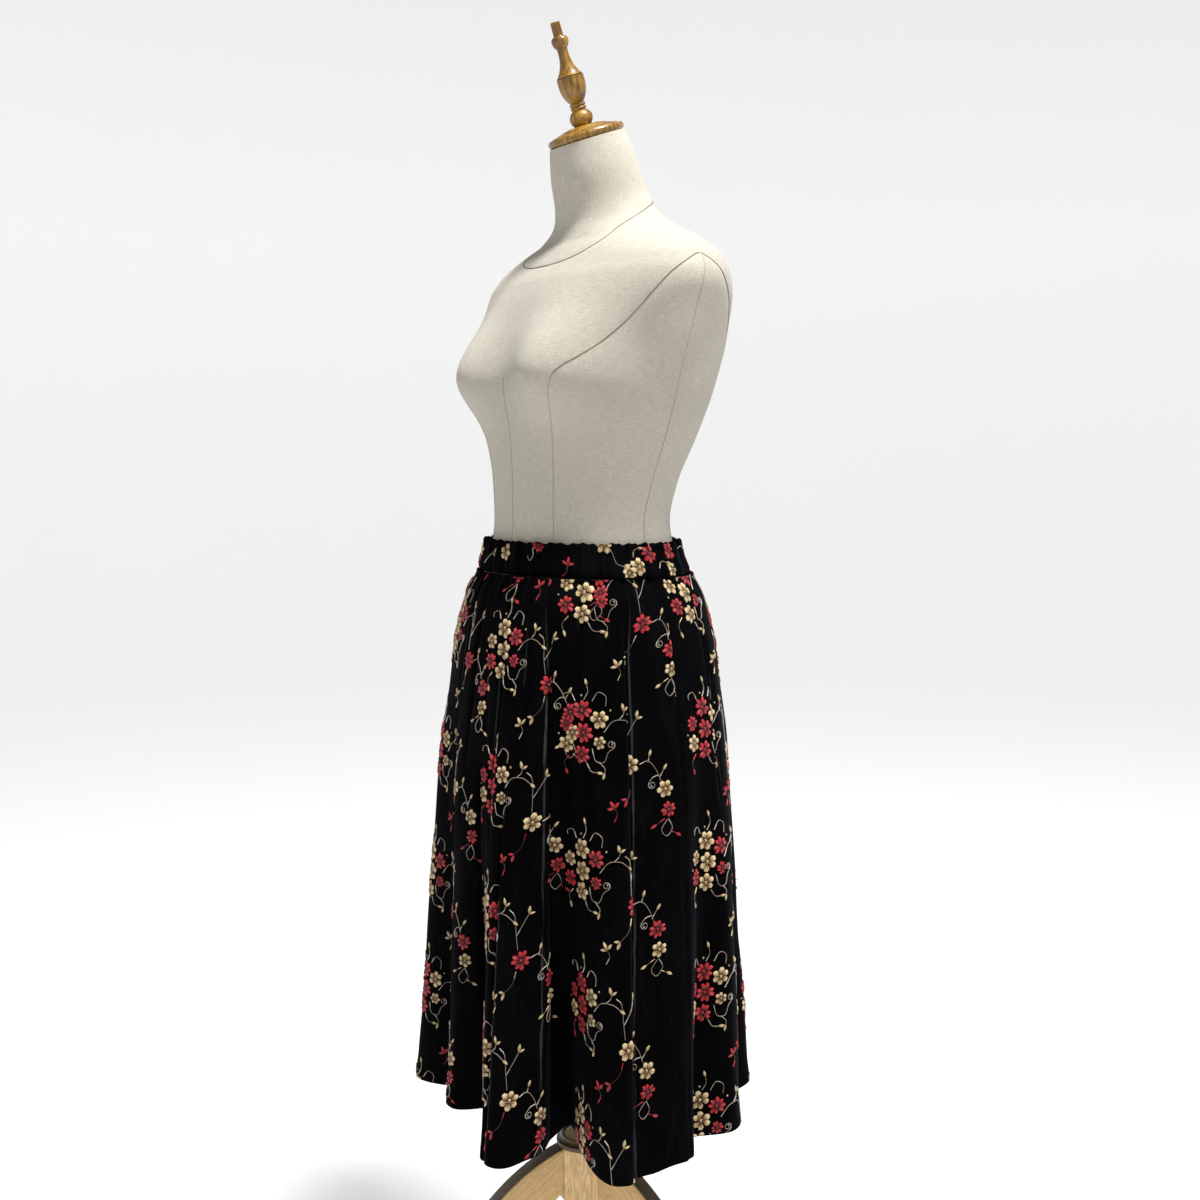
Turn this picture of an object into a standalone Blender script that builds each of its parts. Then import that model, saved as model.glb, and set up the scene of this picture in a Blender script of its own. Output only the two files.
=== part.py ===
"""A gathered a-line skirt on a limbless dress form with a wooden base.

The skirt is a front and a back panel with deep soft folds, under an elastic waist casing. Metres, +Z up.
The form faces -Y and its left side is towards +X. The origin is on the floor, under the form's rod.
"""

import math

import bmesh
import bpy
import numpy as np
from mathutils import Matrix, Vector

GAP = 0.0003  # between pieces that touch

# Heights above the floor
WAIST = 1.000  # the form's narrowest place
SKIRT_TOP = 0.985
FORM_BOTTOM = 0.705
HUB_TOP = 0.291

# Skirt
SKIRT_LENGTH = 0.635
CASING_HEIGHT = 0.036
CASING_WALL = 0.003
CASING_STAND = 0.0007  # from the form to the casing's nearest pucker
CASING_PUCKERS = 24
PUCKER_DEPTH = 0.0060
CLOTH = 0.002
PANEL_COLUMNS = 54
PANEL_ROWS = 12
ROW_CROWDING = 1.5
CASING_COLUMNS = 96
# Sections of the casing, by their share of its height from the top: how far they stand out and how deep
# their puckers are
CASING_SECTIONS = (
    (0.0, 0.000, 1.0),
    (0.3, 0.003, 0.6),
    (0.7, 0.003, 0.6),
    (1.0, 0.001, 1.0),
)

# Sections of the skirt's mean cloth line, down from its top edge
SKIRT_COLUMNS = ("drop", "half_width", "half_depth")
SKIRT_SECTIONS = (
    (0.036, 0.1430, 0.1140),
    (0.054, 0.1540, 0.1230),
    (0.081, 0.1630, 0.1305),
    (0.110, 0.1700, 0.1365),
    (0.160, 0.1770, 0.1425),
    (0.220, 0.1840, 0.1500),
    (0.300, 0.1890, 0.1550),
    (0.450, 0.1935, 0.1600),
    (0.635, 0.1960, 0.1650),
)

# Folds, each a crest and the valley after it, by their turn from the left side seam towards the back.
# crest and valley are how far the hem stands out of the mean line, lift how far the hem rides up,
# and start the drop at which the fold begins.
FOLD_COLUMNS = ("crest_turn", "crest", "valley_turn", "valley", "lift", "start")
FOLDS = (
    (-124.0, 0.022, -108.0, -0.022, 0.012, 0.10),
    (-93.0, 0.006, -79.0, -0.036, 0.014, 0.22),
    (-64.0, 0.028, -41.0, -0.072, -0.013, 0.05),
    (-22.0, 0.018, -13.0, 0.000, -0.018, 0.04),
    (-3.0, 0.010, 10.0, -0.026, -0.006, 0.07),
    (22.0, 0.014, 37.0, -0.028, 0.002, 0.06),
    (54.0, 0.018, 72.0, -0.034, 0.012, 0.12),
    (91.0, 0.034, 108.0, -0.042, 0.004, 0.06),
    (127.0, 0.020, 143.0, -0.024, 0.009, 0.18),
    (158.0, 0.012, 172.0, -0.032, 0.002, 0.09),
    (190.0, 0.012, 208.0, -0.038, -0.003, 0.05),
    (222.0, 0.018, 230.0, 0.004, 0.006, 0.14),
)
CREST_BREADTH = 1.35  # over 1 leaves crests rounder and valleys narrower
FOLD_GROWTH = 1.5

# Sections of the form, up from its waist. shift is how far the section lies back, lean its forward tilt in
# degrees, and square how boxy its back half is, from 2 for an ellipse
FORM_COLUMNS = ("height", "half_width", "front", "back", "shift", "lean", "square")
FORM_SECTIONS = (
    (-0.295, 0.1380, 0.0950, 0.1020, 0.002, 0.0, 2.0),
    (-0.270, 0.1520, 0.1050, 0.1130, 0.002, 0.0, 2.0),
    (-0.200, 0.1620, 0.1100, 0.1210, 0.002, 0.0, 2.0),
    (-0.120, 0.1560, 0.1060, 0.1140, 0.000, 0.0, 2.0),
    (-0.050, 0.1370, 0.0990, 0.1010, -0.002, 0.0, 2.0),
    (-0.015, 0.1210, 0.0910, 0.0920, -0.003, 0.0, 2.0),
    (0.010, 0.1175, 0.0890, 0.0890, -0.003, 0.0, 2.0),
    (0.050, 0.1230, 0.0910, 0.0930, -0.001, 0.0, 2.1),
    (0.100, 0.1380, 0.0960, 0.1040, 0.002, 0.0, 2.4),
    (0.150, 0.1530, 0.1000, 0.1130, 0.004, 0.0, 2.7),
    (0.200, 0.1640, 0.0960, 0.1190, 0.007, 0.0, 2.8),
    (0.240, 0.1740, 0.0880, 0.1170, 0.010, 0.0, 2.8),
    (0.267, 0.1790, 0.0800, 0.1080, 0.014, 0.0, 2.7),
    (0.286, 0.1730, 0.0720, 0.0970, 0.018, 2.0, 2.5),
    (0.300, 0.1560, 0.0670, 0.0850, 0.021, 5.0, 2.3),
    (0.313, 0.1280, 0.0630, 0.0730, 0.024, 9.0, 2.1),
    (0.327, 0.0910, 0.0580, 0.0630, 0.027, 13.0, 2.0),
    (0.345, 0.0640, 0.0540, 0.0560, 0.027, 17.0, 2.0),
    (0.366, 0.0540, 0.0510, 0.0510, 0.023, 19.0, 2.0),
    (0.396, 0.0500, 0.0480, 0.0480, 0.014, 19.5, 2.0),
    (0.427, 0.0430, 0.0430, 0.0430, 0.006, 19.5, 2.0),
)
FORM_RINGS = 41
FORM_POINTS = 40

# Bust, as two soft domes on the front
BUST_HEIGHT = 0.168
BUST_APART = 0.082
BUST_OUT = 0.040
BUST_SPREAD = 0.054
BUST_ABOVE = 0.055
BUST_BELOW = 0.044

# Arm stubs, as low domes on the sides
STUB_HEIGHT = 0.250
STUB_OUT = 0.011
STUB_SPREAD = 0.046
STUB_TALL = 0.040

# Turned wood, as profiles of (radius, height) from the bottom up. Each row gives the next point, how far
# the stretch to it bows out, and in how many steps.
CAP_HEIGHT = 0.0145
CAP_SIDES = 32
CAP_START = (0.0415, 0.0)
CAP_ROWS = (
    (0.0410, 0.0080, 0.0016, 5),  # rounded lower tier
    (0.0375, 0.0084, 0.0, 1),
    (0.0370, 0.0088, 0.0, 1),
    (0.0265, 0.0118, 0.0, 1),  # sloped upper tier
    (0.0260, 0.0126, 0.0, 1),
    (0.0190, 0.0139, 0.0, 1),
    (0.0180, CAP_HEIGHT, 0.0, 1),
)
FINIAL_SIDES = 20
FINIAL_START = (0.00925, 0.0)
FINIAL_ROWS = (
    (0.00759, 0.01665, 0.00463, 7),  # bulb
    (0.00870, 0.01748, 0.0, 1),
    (0.00870, 0.01989, 0.0002, 2),  # lower ring
    (0.00759, 0.02035, 0.0, 1),
    (0.00870, 0.02118, 0.0, 1),
    (0.00870, 0.02359, 0.0002, 2),  # upper ring
    (0.00759, 0.02405, 0.0, 1),
    (0.01499, 0.04903, 0.00259, 8),  # urn
    (0.01517, 0.05180, 0.0, 1),
    (0.01388, 0.05254, 0.0, 1),  # beaded shoulder
    (0.01415, 0.05384, 0.0, 1),
    (0.01277, 0.05476, 0.0, 1),
    (0.00592, 0.08233, -0.00259, 8),  # long neck
    (0.00925, 0.08880, 0.00056, 3),  # ball
    (0.00555, 0.09528, 0.00148, 4),
    (0.00527, 0.10934, 0.0, 1),  # peg
    (0.00444, 0.11008, 0.0, 1),
)

ROD_RADIUS = 0.0095
ROD_SIDES = 24
COLLAR_RADIUS = 0.0320
COLLAR_HEIGHT = 0.0110
COLLAR_SIDES = 32
INSET_RADIUS = 0.0220
INSET_DEPTH = 0.0060
BLOCK_WIDE = 0.040  # the block's faces between legs
BLOCK_NARROW = 0.022  # the block's faces that legs are fixed to
BLOCK_HEIGHT = 0.062
LEG_THICKNESS = 0.022
LEG_TURNS = {"leg_front": 259.0, "leg_left": 19.0, "leg_right": 139.0}
LEG_TOP_EDGE = ((0.0, 0.2795), (0.080, 0.253), (0.160, 0.170), (0.182, 0.0))
LEG_LOWER_EDGE = ((0.0, 0.228), (0.048, 0.186), (0.116, 0.122), (0.138, 0.0))


def clear_scene():
    for existing in list(bpy.data.objects):
        bpy.data.objects.remove(existing, do_unlink=True)


def material(name, colour, roughness, metallic=0.0):
    finish = bpy.data.materials.new(name)
    finish.use_nodes = True
    finish.diffuse_color = (*colour, 1.0)
    shader = finish.node_tree.nodes["Principled BSDF"]
    shader.inputs["Base Color"].default_value = (*colour, 1.0)
    shader.inputs["Roughness"].default_value = roughness
    shader.inputs["Metallic"].default_value = metallic
    return finish


def add_object(name, bm, finish, smooth_angle=None):
    """The bmesh as a named object with its normals facing out."""
    bmesh.ops.recalc_face_normals(bm, faces=bm.faces)
    mesh = bpy.data.meshes.new(name)
    bm.to_mesh(mesh)
    bm.free()
    if smooth_angle is not None:
        mesh.shade_smooth()
        mesh.set_sharp_from_angle(angle=math.radians(smooth_angle))
    mesh.materials.append(finish)
    piece = bpy.data.objects.new(name, mesh)
    bpy.context.scene.collection.objects.link(piece)
    return piece


def column(rows, names, wanted):
    return np.array([row[names.index(wanted)] for row in rows])


def smooth_curves(rows, names):
    """A smooth curve along the first column for each other column of a table, by name."""
    along = column(rows, names, names[0])
    return {name: smooth_through(along, column(rows, names, name)) for name in names[1:]}


def smooth_through(xs, ys):
    """A function that runs smoothly through the points and never overshoots them."""
    steps = np.diff(xs)
    slopes = np.diff(ys) / steps
    product, total = slopes[:-1] * slopes[1:], slopes[:-1] + slopes[1:]
    turning = product <= 0
    mean = np.where(turning, 0.0, 2 * product / np.where(turning, 1.0, total))
    tangents = np.concatenate([[slopes[0]], mean, [slopes[-1]]])

    def value(x):
        i = np.clip(np.searchsorted(xs, x) - 1, 0, len(steps) - 1)
        t = np.clip((x - xs[i]) / steps[i], 0.0, 1.0)
        start = (1 + 2 * t) * (1 - t) ** 2 * ys[i] + t * (1 - t) ** 2 * steps[i] * tangents[i]
        end = t * t * (3 - 2 * t) * ys[i + 1] + t * t * (t - 1) * steps[i] * tangents[i + 1]
        return start + end

    return value


# ---------------------------------------------------------------- the form's body


FORM_CURVES = smooth_curves(FORM_SECTIONS, FORM_COLUMNS)


def form_section(height, turns):
    """Points of the form's section at a height above its waist, one for each turn in radians."""
    size = {name: float(curve(height)) for name, curve in FORM_CURVES.items()}
    across, along = np.cos(turns), np.sin(turns)
    behind = along > 0
    roundness = np.where(behind, 2 / size["square"], 1.0)
    x = size["half_width"] * np.copysign(np.abs(across) ** roundness, across)
    y = np.where(behind, size["back"], size["front"]) * np.copysign(np.abs(along) ** roundness, along)
    bust_rise = (height - BUST_HEIGHT) / (BUST_ABOVE if height > BUST_HEIGHT else BUST_BELOW)
    domes = sum(np.exp(-(((x - side * BUST_APART) / BUST_SPREAD) ** 2)) for side in (-1, 1))
    y = y - BUST_OUT * domes * math.exp(-(bust_rise**2)) * np.clip(-along, 0, 1) ** 0.7
    stub_rise = (height - STUB_HEIGHT) / STUB_TALL
    stub = STUB_OUT * np.exp(-((y / STUB_SPREAD) ** 2)) * math.exp(-(stub_rise**2))
    x = x + stub * across
    lean = math.radians(size["lean"])
    z = WAIST + height + y * math.sin(lean)
    y = size["shift"] + y * math.cos(lean)
    return np.stack([x, y, z], axis=1)


def add_rings(bm, rings, closed=True):
    """Vertices for a list of rings of points, joined by quads."""
    made = [[bm.verts.new(point) for point in ring] for ring in rings]
    for below, above in zip(made, made[1:]):
        for i in range(len(below) if closed else len(below) - 1):
            j = (i + 1) % len(below)
            bm.faces.new((below[i], below[j], above[j], above[i]))
    return made


def form_body(linen):
    heights = column(FORM_SECTIONS, FORM_COLUMNS, "height")
    # Rings lie closer together where the sections do.
    steps = np.linspace(0, len(heights) - 1, FORM_RINGS)
    levels = np.interp(steps, np.arange(len(heights)), heights)
    turns = np.arange(FORM_POINTS) * 2 * math.pi / FORM_POINTS
    bm = bmesh.new()
    made = add_rings(bm, [form_section(level, turns) for level in levels])
    for end in (made[0], made[-1]):
        bm.faces.new(end)
    return add_object("form_body", bm, linen, smooth_angle=50)


# ---------------------------------------------------------------- the skirt


SKIRT_CURVES = smooth_curves(SKIRT_SECTIONS, SKIRT_COLUMNS)


def fold_marks():
    """Crests and valleys in order round the skirt: turn in degrees, reach, lift and start."""
    marks = []
    for crest_turn, crest, valley_turn, valley, lift, start in FOLDS:
        marks.append((crest_turn, crest, lift, start))
        marks.append((valley_turn, valley, lift, start))
    first = marks[0]
    return marks + [(first[0] + 360.0, *first[1:])]


def growth(drop, start):
    """The share of its hem's reach that a fold has at a drop."""
    return max(0.0, (drop - start) / (SKIRT_LENGTH - start)) ** FOLD_GROWTH


def fold_at(turns, drop):
    """How far the cloth stands out of its mean line and its hem is lifted, at each turn in radians."""
    marks = fold_marks()
    degrees = (np.degrees(turns) - marks[0][0]) % 360.0 + marks[0][0]
    reach, lift = np.zeros_like(degrees), np.zeros_like(degrees)
    for i, (low, high) in enumerate(zip(marks, marks[1:])):
        inside = (degrees >= low[0]) & (degrees <= high[0])
        share = (degrees - low[0]) / (high[0] - low[0])
        from_crest = share if i % 2 == 0 else 1 - share
        crest = low if i % 2 == 0 else high
        valley = high if i % 2 == 0 else low
        near_crest = np.cos(np.clip(from_crest, 0, 1) ** CREST_BREADTH * math.pi / 2) ** 2
        crest_reach, valley_reach = (mark[1] * growth(drop, mark[3]) for mark in (crest, valley))
        reach = np.where(inside, valley_reach + (crest_reach - valley_reach) * near_crest, reach)
        lift = np.where(inside, valley[2] + (crest[2] - valley[2]) * near_crest, lift)
    return reach, lift


def skirt_section(drop, turns):
    """Outer points of the skirt at a drop below its top edge."""
    half_width = float(SKIRT_CURVES["half_width"](drop))
    half_depth = float(SKIRT_CURVES["half_depth"](drop))
    across, along = np.cos(turns), np.sin(turns)
    mean = 1 / np.sqrt((across / half_width) ** 2 + (along / half_depth) ** 2)
    reach, lift = fold_at(turns, drop)
    radius = mean + reach
    height = SKIRT_TOP - drop
    z = height + lift * (drop / SKIRT_LENGTH) ** 3
    return np.stack([radius * across, radius * along, z], axis=1)


def even_turns(first, last, count):
    """Turns in radians between two in degrees, spaced evenly along the hem."""
    fine = np.radians(np.linspace(first, last, 2000))
    hem = skirt_section(SKIRT_LENGTH, fine)
    along = np.concatenate([[0], np.cumsum(np.linalg.norm(np.diff(hem, axis=0), axis=1))])
    return np.interp(np.linspace(0, along[-1], count + 1), along, fine)


def inward(points, wall, closed):
    """The points moved square to their line in plan, towards the inside."""
    if closed:
        along = np.roll(points, -1, axis=0) - np.roll(points, 1, axis=0)
    else:
        along = np.gradient(points, axis=0)
        along[[0, -1], 0] = 0  # at the side seams the wall runs square to the seam
    normal = np.stack([along[:, 1], -along[:, 0]], axis=1)
    normal /= np.linalg.norm(normal, axis=1)[:, None]
    inner = points.copy()
    inner[:, :2] -= normal * wall
    return inner


def cloth_wall(name, outer_rings, wall, closed, finish):
    """A wall of cloth inside the given rings, closed along its edges."""
    bm = bmesh.new()
    outer = add_rings(bm, outer_rings, closed)
    inner = add_rings(bm, [inward(ring, wall, closed) for ring in outer_rings], closed)
    count = len(outer[0])
    for level in (0, -1):
        for i in range(count if closed else count - 1):
            j = (i + 1) % count
            bm.faces.new((outer[level][i], outer[level][j], inner[level][j], inner[level][i]))
    if not closed:
        for side in (0, -1):
            for over, under in zip(range(len(outer) - 1), range(1, len(outer))):
                edge = (outer[over][side], outer[under][side], inner[under][side], inner[over][side])
                bm.faces.new(edge)
    return add_object(name, bm, finish, smooth_angle=60)


def skirt_panel(name, first, last, velvet):
    """One panel, from one side seam to the other, by turns in degrees."""
    turns = even_turns(first, last, PANEL_COLUMNS)
    top = CASING_HEIGHT + GAP
    # Rows lie closer together under the casing, where the cloth swells out.
    shares = np.linspace(0, 1, PANEL_ROWS + 1) ** ROW_CROWDING
    rings = [skirt_section(top + (SKIRT_LENGTH - top) * share, turns) for share in shares]
    for ring in rings:
        ring[[0, -1], 1] = math.copysign(GAP / 2, first + last)
    return cloth_wall(name, rings, CLOTH, False, velvet)


def waist_casing(velvet):
    """The elastic casing: a puckered band that hugs the form."""
    turns = np.arange(CASING_COLUMNS) * 2 * math.pi / CASING_COLUMNS
    puckers = 0.5 + 0.5 * np.cos(turns * CASING_PUCKERS)
    rings = []
    for share, stand, depth in CASING_SECTIONS:
        height = SKIRT_TOP - CASING_HEIGHT * share
        ring = form_section(height - WAIST, turns)
        radius = np.hypot(ring[:, 0], ring[:, 1])
        out = CASING_STAND + CASING_WALL + stand + PUCKER_DEPTH * depth * puckers
        ring[:, :2] *= (1 + out / radius)[:, None]
        ring[:, 2] = height
        rings.append(ring)
    return cloth_wall("waist_casing", rings, CASING_WALL, True, velvet)


# ---------------------------------------------------------------- turned wood


def turned(name, profile, segments, finish, smooth_angle=35):
    """A solid turned about Z from its profile of (radius, height), with a flat face over each end."""
    bm = bmesh.new()
    turns = [2 * math.pi * i / segments for i in range(segments)]
    rings = [[(r * math.cos(turn), r * math.sin(turn), z) for turn in turns] for r, z in profile]
    made = add_rings(bm, rings)
    bm.faces.new(made[0])
    bm.faces.new(made[-1])
    return add_object(name, bm, finish, smooth_angle)


def bow(start, end, bulge, count):
    """Points of (radius, height) from start to end, bowed out by bulge at the middle."""
    points = []
    for i in range(1, count + 1):
        t = i / count
        out = bulge * 4 * t * (1 - t)
        points.append((start[0] + (end[0] - start[0]) * t + out, start[1] + (end[1] - start[1]) * t))
    return points


def run_of_bows(start, rows):
    """A profile from a start point through rows of (radius, height, bulge, count)."""
    points = [start]
    for radius, height, bulge, count in rows:
        points += bow(points[-1], (radius, height), bulge, count)
    return points


def neck_cap(wood):
    profile = run_of_bows(CAP_START, CAP_ROWS)
    return turned("neck_cap", profile, CAP_SIDES, wood)


def finial(wood):
    profile = run_of_bows(FINIAL_START, FINIAL_ROWS)
    return turned("finial", profile, FINIAL_SIDES, wood)


def set_on_neck(piece, above):
    """Stands a turned piece on the neck's top, square to the neck's lean."""
    height, _, _, _, shift, lean, _ = FORM_SECTIONS[-1]
    tilt = Matrix.Rotation(math.radians(lean), 4, "X")
    piece.location = Vector((0, shift, WAIST + height)) + tilt @ Vector((0, 0, above))
    piece.rotation_euler = tilt.to_euler()


# ---------------------------------------------------------------- rod and base


def rod(steel):
    profile = [(ROD_RADIUS, HUB_TOP + GAP), (ROD_RADIUS, FORM_BOTTOM - GAP)]
    return turned("rod", profile, ROD_SIDES, steel)


def hub_collar(dark_oak):
    """The dark rim, with a recess in its top for the light disc."""
    low = HUB_TOP - COLLAR_HEIGHT
    profile = [
        (INSET_RADIUS + GAP, HUB_TOP - INSET_DEPTH),
        (INSET_RADIUS + GAP, HUB_TOP - 0.0008),
        (INSET_RADIUS + 0.0030, HUB_TOP),
        (COLLAR_RADIUS - 0.0060, HUB_TOP - 0.0010),
        (COLLAR_RADIUS - 0.0015, HUB_TOP - 0.0050),
        (COLLAR_RADIUS, low + 0.0015),
        (COLLAR_RADIUS - 0.0008, low),
    ]
    return turned("hub_collar", profile, COLLAR_SIDES, dark_oak)


def hub_inset(oak):
    worn = 0.0006
    profile = [
        (INSET_RADIUS, HUB_TOP - INSET_DEPTH + GAP),
        (INSET_RADIUS, HUB_TOP - worn),
        (INSET_RADIUS - worn, HUB_TOP),
    ]
    return turned("hub_inset", profile, COLLAR_SIDES, oak)


def block_reach():
    """Distance from the rod's axis to the block's narrow faces."""
    return (BLOCK_NARROW + 2 * BLOCK_WIDE) / (2 * math.sqrt(3))


def hub_block(oak):
    """A six-sided block, with a narrow face towards each leg."""
    high = HUB_TOP - COLLAR_HEIGHT - GAP
    corners = []
    for turn in sorted(LEG_TURNS.values()):
        facing = Matrix.Rotation(math.radians(turn), 3, "Z")
        corners += [facing @ Vector((block_reach(), side * BLOCK_NARROW / 2, 0)) for side in (-1, 1)]
    bm = bmesh.new()
    rings = [[corner + Vector((0, 0, z)) for corner in corners] for z in (high - BLOCK_HEIGHT, high)]
    made = add_rings(bm, rings)
    bm.faces.new(made[0])
    bm.faces.new(made[1])
    piece = add_object("hub_block", bm, oak, smooth_angle=30)
    edge = piece.modifiers.new("worn_edges", "BEVEL")
    edge.width, edge.segments = 0.0008, 1
    return piece


def bezier(points, count):
    made = []
    for i in range(count + 1):
        t = i / count
        weights = ((1 - t) ** 3, 3 * t * (1 - t) ** 2, 3 * t * t * (1 - t), t**3)
        made.append(tuple(sum(w * p[axis] for w, p in zip(weights, points)) for axis in (0, 1)))
    return made


def leg(name, turn, oak):
    """A curved plank on edge, from the block down to a flat foot."""
    outline = bezier(LEG_TOP_EDGE, 12) + list(reversed(bezier(LEG_LOWER_EDGE, 10)))
    inner_end = block_reach() + GAP
    bm = bmesh.new()
    sides = (-LEG_THICKNESS / 2, LEG_THICKNESS / 2)
    rings = [[(inner_end + reach, side, height) for reach, height in outline] for side in sides]
    made = add_rings(bm, rings)
    bm.faces.new(made[0])
    bm.faces.new(made[1])
    piece = add_object(name, bm, oak, smooth_angle=30)
    piece.rotation_euler = (0, 0, math.radians(turn))
    edge = piece.modifiers.new("worn_edges", "BEVEL")
    edge.width, edge.segments, edge.limit_method = 0.0012, 1, "ANGLE"
    edge.angle_limit = math.radians(40)
    return piece


def main():
    clear_scene()
    velvet = material("velvet", (0.012, 0.011, 0.014), 0.85)
    linen = material("linen", (0.66, 0.61, 0.53), 0.9)
    honey_wood = material("honey_wood", (0.58, 0.27, 0.07), 0.25)
    oak = material("oak", (0.60, 0.42, 0.22), 0.5)
    dark_oak = material("dark_oak", (0.16, 0.10, 0.05), 0.5)
    steel = material("steel", (0.60, 0.60, 0.62), 0.3, 1.0)

    form_body(linen)
    skirt_panel("skirt_front", -180.0, 0.0, velvet)
    skirt_panel("skirt_back", 0.0, 180.0, velvet)
    waist_casing(velvet)
    set_on_neck(neck_cap(honey_wood), GAP)
    set_on_neck(finial(honey_wood), CAP_HEIGHT + 2 * GAP)
    rod(steel)
    hub_collar(dark_oak)
    hub_inset(oak)
    hub_block(oak)
    for name, turn in LEG_TURNS.items():
        leg(name, turn, oak)


main()
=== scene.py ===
"""A velvet a-line skirt on a linen dress form: the fine shape and the finish of every piece.

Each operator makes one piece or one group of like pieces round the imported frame. Metres, +Z up; the form
faces -Y and its left side is towards +X. Turns are in degrees from +X towards the back, and drops run down
from the skirt's top edge.
"""

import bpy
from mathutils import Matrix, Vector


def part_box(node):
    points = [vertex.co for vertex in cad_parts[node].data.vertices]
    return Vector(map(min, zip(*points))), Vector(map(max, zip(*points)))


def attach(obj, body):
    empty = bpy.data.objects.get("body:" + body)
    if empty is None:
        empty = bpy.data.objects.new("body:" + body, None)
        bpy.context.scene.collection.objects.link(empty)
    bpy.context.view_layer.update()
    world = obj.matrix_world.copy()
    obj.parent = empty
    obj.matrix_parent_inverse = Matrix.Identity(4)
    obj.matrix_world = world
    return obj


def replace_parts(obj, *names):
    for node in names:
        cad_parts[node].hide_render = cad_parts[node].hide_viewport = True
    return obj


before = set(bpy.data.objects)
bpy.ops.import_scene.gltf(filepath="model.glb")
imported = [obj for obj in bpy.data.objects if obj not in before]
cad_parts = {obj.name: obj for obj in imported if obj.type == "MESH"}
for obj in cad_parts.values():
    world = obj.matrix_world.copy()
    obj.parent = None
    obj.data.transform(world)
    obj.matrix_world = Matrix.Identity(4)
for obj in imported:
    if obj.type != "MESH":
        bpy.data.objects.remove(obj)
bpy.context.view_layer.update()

import math

import bpy
import numpy as np
from bpy.props import FloatProperty, FloatVectorProperty, IntProperty, PointerProperty
from bpy.types import Operator, Panel, PropertyGroup
from mathutils import Matrix, Vector
from mathutils.kdtree import KDTree

bl_info = {
    "name": "Velvet Skirt on a Dress Form",
    "version": (1, 0, 0),
    "blender": (4, 5, 0),
    "location": "3D View > Sidebar > Skirt",
    "description": "Builds a gathered velvet skirt with sewn sprays, its linen dress form and its oak base",
    "category": "Object",
}

MM = 0.001


def in_mm(*rows, plain=()):
    """A table's rows turned from millimetres to metres, except in the columns that are listed as plain."""
    return tuple(tuple(v if i in plain else v * MM for i, v in enumerate(row)) for row in rows)


GAP = 0.3 * MM  # between pieces that touch

# ---------------------------------------------------------------- the garment's rule, as in the frame

SKIRT_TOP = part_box("waist_casing")[1].z
CASING_RISE = 0.0030  # its ruffled top edge stands a little over its solid's
CASING_HEIGHT = 0.0355
PANEL_TOP = CASING_HEIGHT - CASING_RISE + GAP
SKIRT_LENGTH = 0.635
WAIST = SKIRT_TOP + 0.015  # the form's narrowest place

# A table inside in_mm is written in millimetres, apart from its turns and its other plain columns.

# Sections of the skirt's mean cloth line
SKIRT_COLUMNS = ("drop", "half_width", "half_depth")
SKIRT_SECTIONS = in_mm(
    (36, 143, 114),
    (54, 154, 123),
    (81, 163, 130.5),
    (110, 170, 136.5),
    (160, 177, 142.5),
    (220, 184, 150),
    (300, 189, 155),
    (450, 193.5, 160),
    (635, 196, 165),
)

# Large folds, each a crest and the valley after it: how far the hem stands out of the mean line at both,
# how far it rides up, and the drop at which the fold begins
FOLDS = in_mm(
    # crest_turn, crest, valley_turn, valley, crest_lift, valley_lift, start
    (-124, 22, -108, -22, 12, 12, 100),
    (-93, 6, -79, -36, 14, 14, 220),
    (-64, 28, -41, -72, -13, 2, 50),
    (-22, 18, -13, 0, -18, -18, 40),
    (-3, 10, 10, -26, -6, -6, 70),
    (22, 14, 37, -28, 2, 2, 60),
    (54, 18, 72, -34, 12, 12, 120),
    (91, 34, 108, -42, 4, 4, 60),
    (127, 20, 143, -24, 9, 9, 180),
    (158, 12, 172, -32, 2, 2, 90),
    (190, 12, 208, -38, -3, -3, 50),
    (222, 18, 230, 4, 6, 6, 140),
    plain=(0, 2),
)
CREST_BREADTH = 1.35
FOLD_GROWTH = 1.5

# Sharp creases where the cloth tucks under itself: turn at the top and how far it drifts by the hem, where
# it starts and ends, its depth and half-breadth, and how far one side laps over the other. A lap above 0
# carries the side of the lower turn over.
CREASES = in_mm(
    # turn, drift, start, end, depth, breadth, lap
    (-34, 0, 30, 135, 4.5, 4, 2.5),
    (-47.5, -2.5, 45, 700, 11, 5.5, 7.5),
    (-16.5, -0.5, 40, 700, 10, 5, -7.5),
    (-62, -3.5, 220, 700, 9, 5, -6.5),
    (-79, -2, 215, 640, 6, 4.5, -4.5),
    (-57, 1, 35, 200, 4, 4, 2.5),
    (-70, -3, 60, 340, 4.5, 4, 3),
    (-90, -2, 40, 260, 4, 4, -2.5),
    (-103, -3, 35, 420, 6, 4.5, 4.5),
    (-126, -3, 150, 700, 8, 5, 5.5),
    (-148, 2, 40, 520, 7, 5, -5),
    (-166, -2, 50, 700, 9, 5, 6),
    (19, 2, 35, 300, 5, 4.5, -3),
    (33, 3, 50, 700, 9, 5, 6),
    (51, 1, 90, 480, 6, 4.5, -4),
    (70, 2, 40, 700, 10, 5.5, 7),
    (88, -2, 35, 240, 4.5, 4, 2.5),
    (104, 3, 60, 700, 10, 5, -7),
    (122, 2, 45, 380, 5.5, 4.5, 4),
    (139, 2, 110, 700, 8, 5, 5.5),
    (156, -1, 40, 600, 7, 4.5, -5),
    (171, 1, 40, 280, 5, 4, 3),
    plain=(0, 1),
)
CREASE_FADE = 0.085
SEAM_GAP = 0.02 * MM  # between the panels at a side seam

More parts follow.
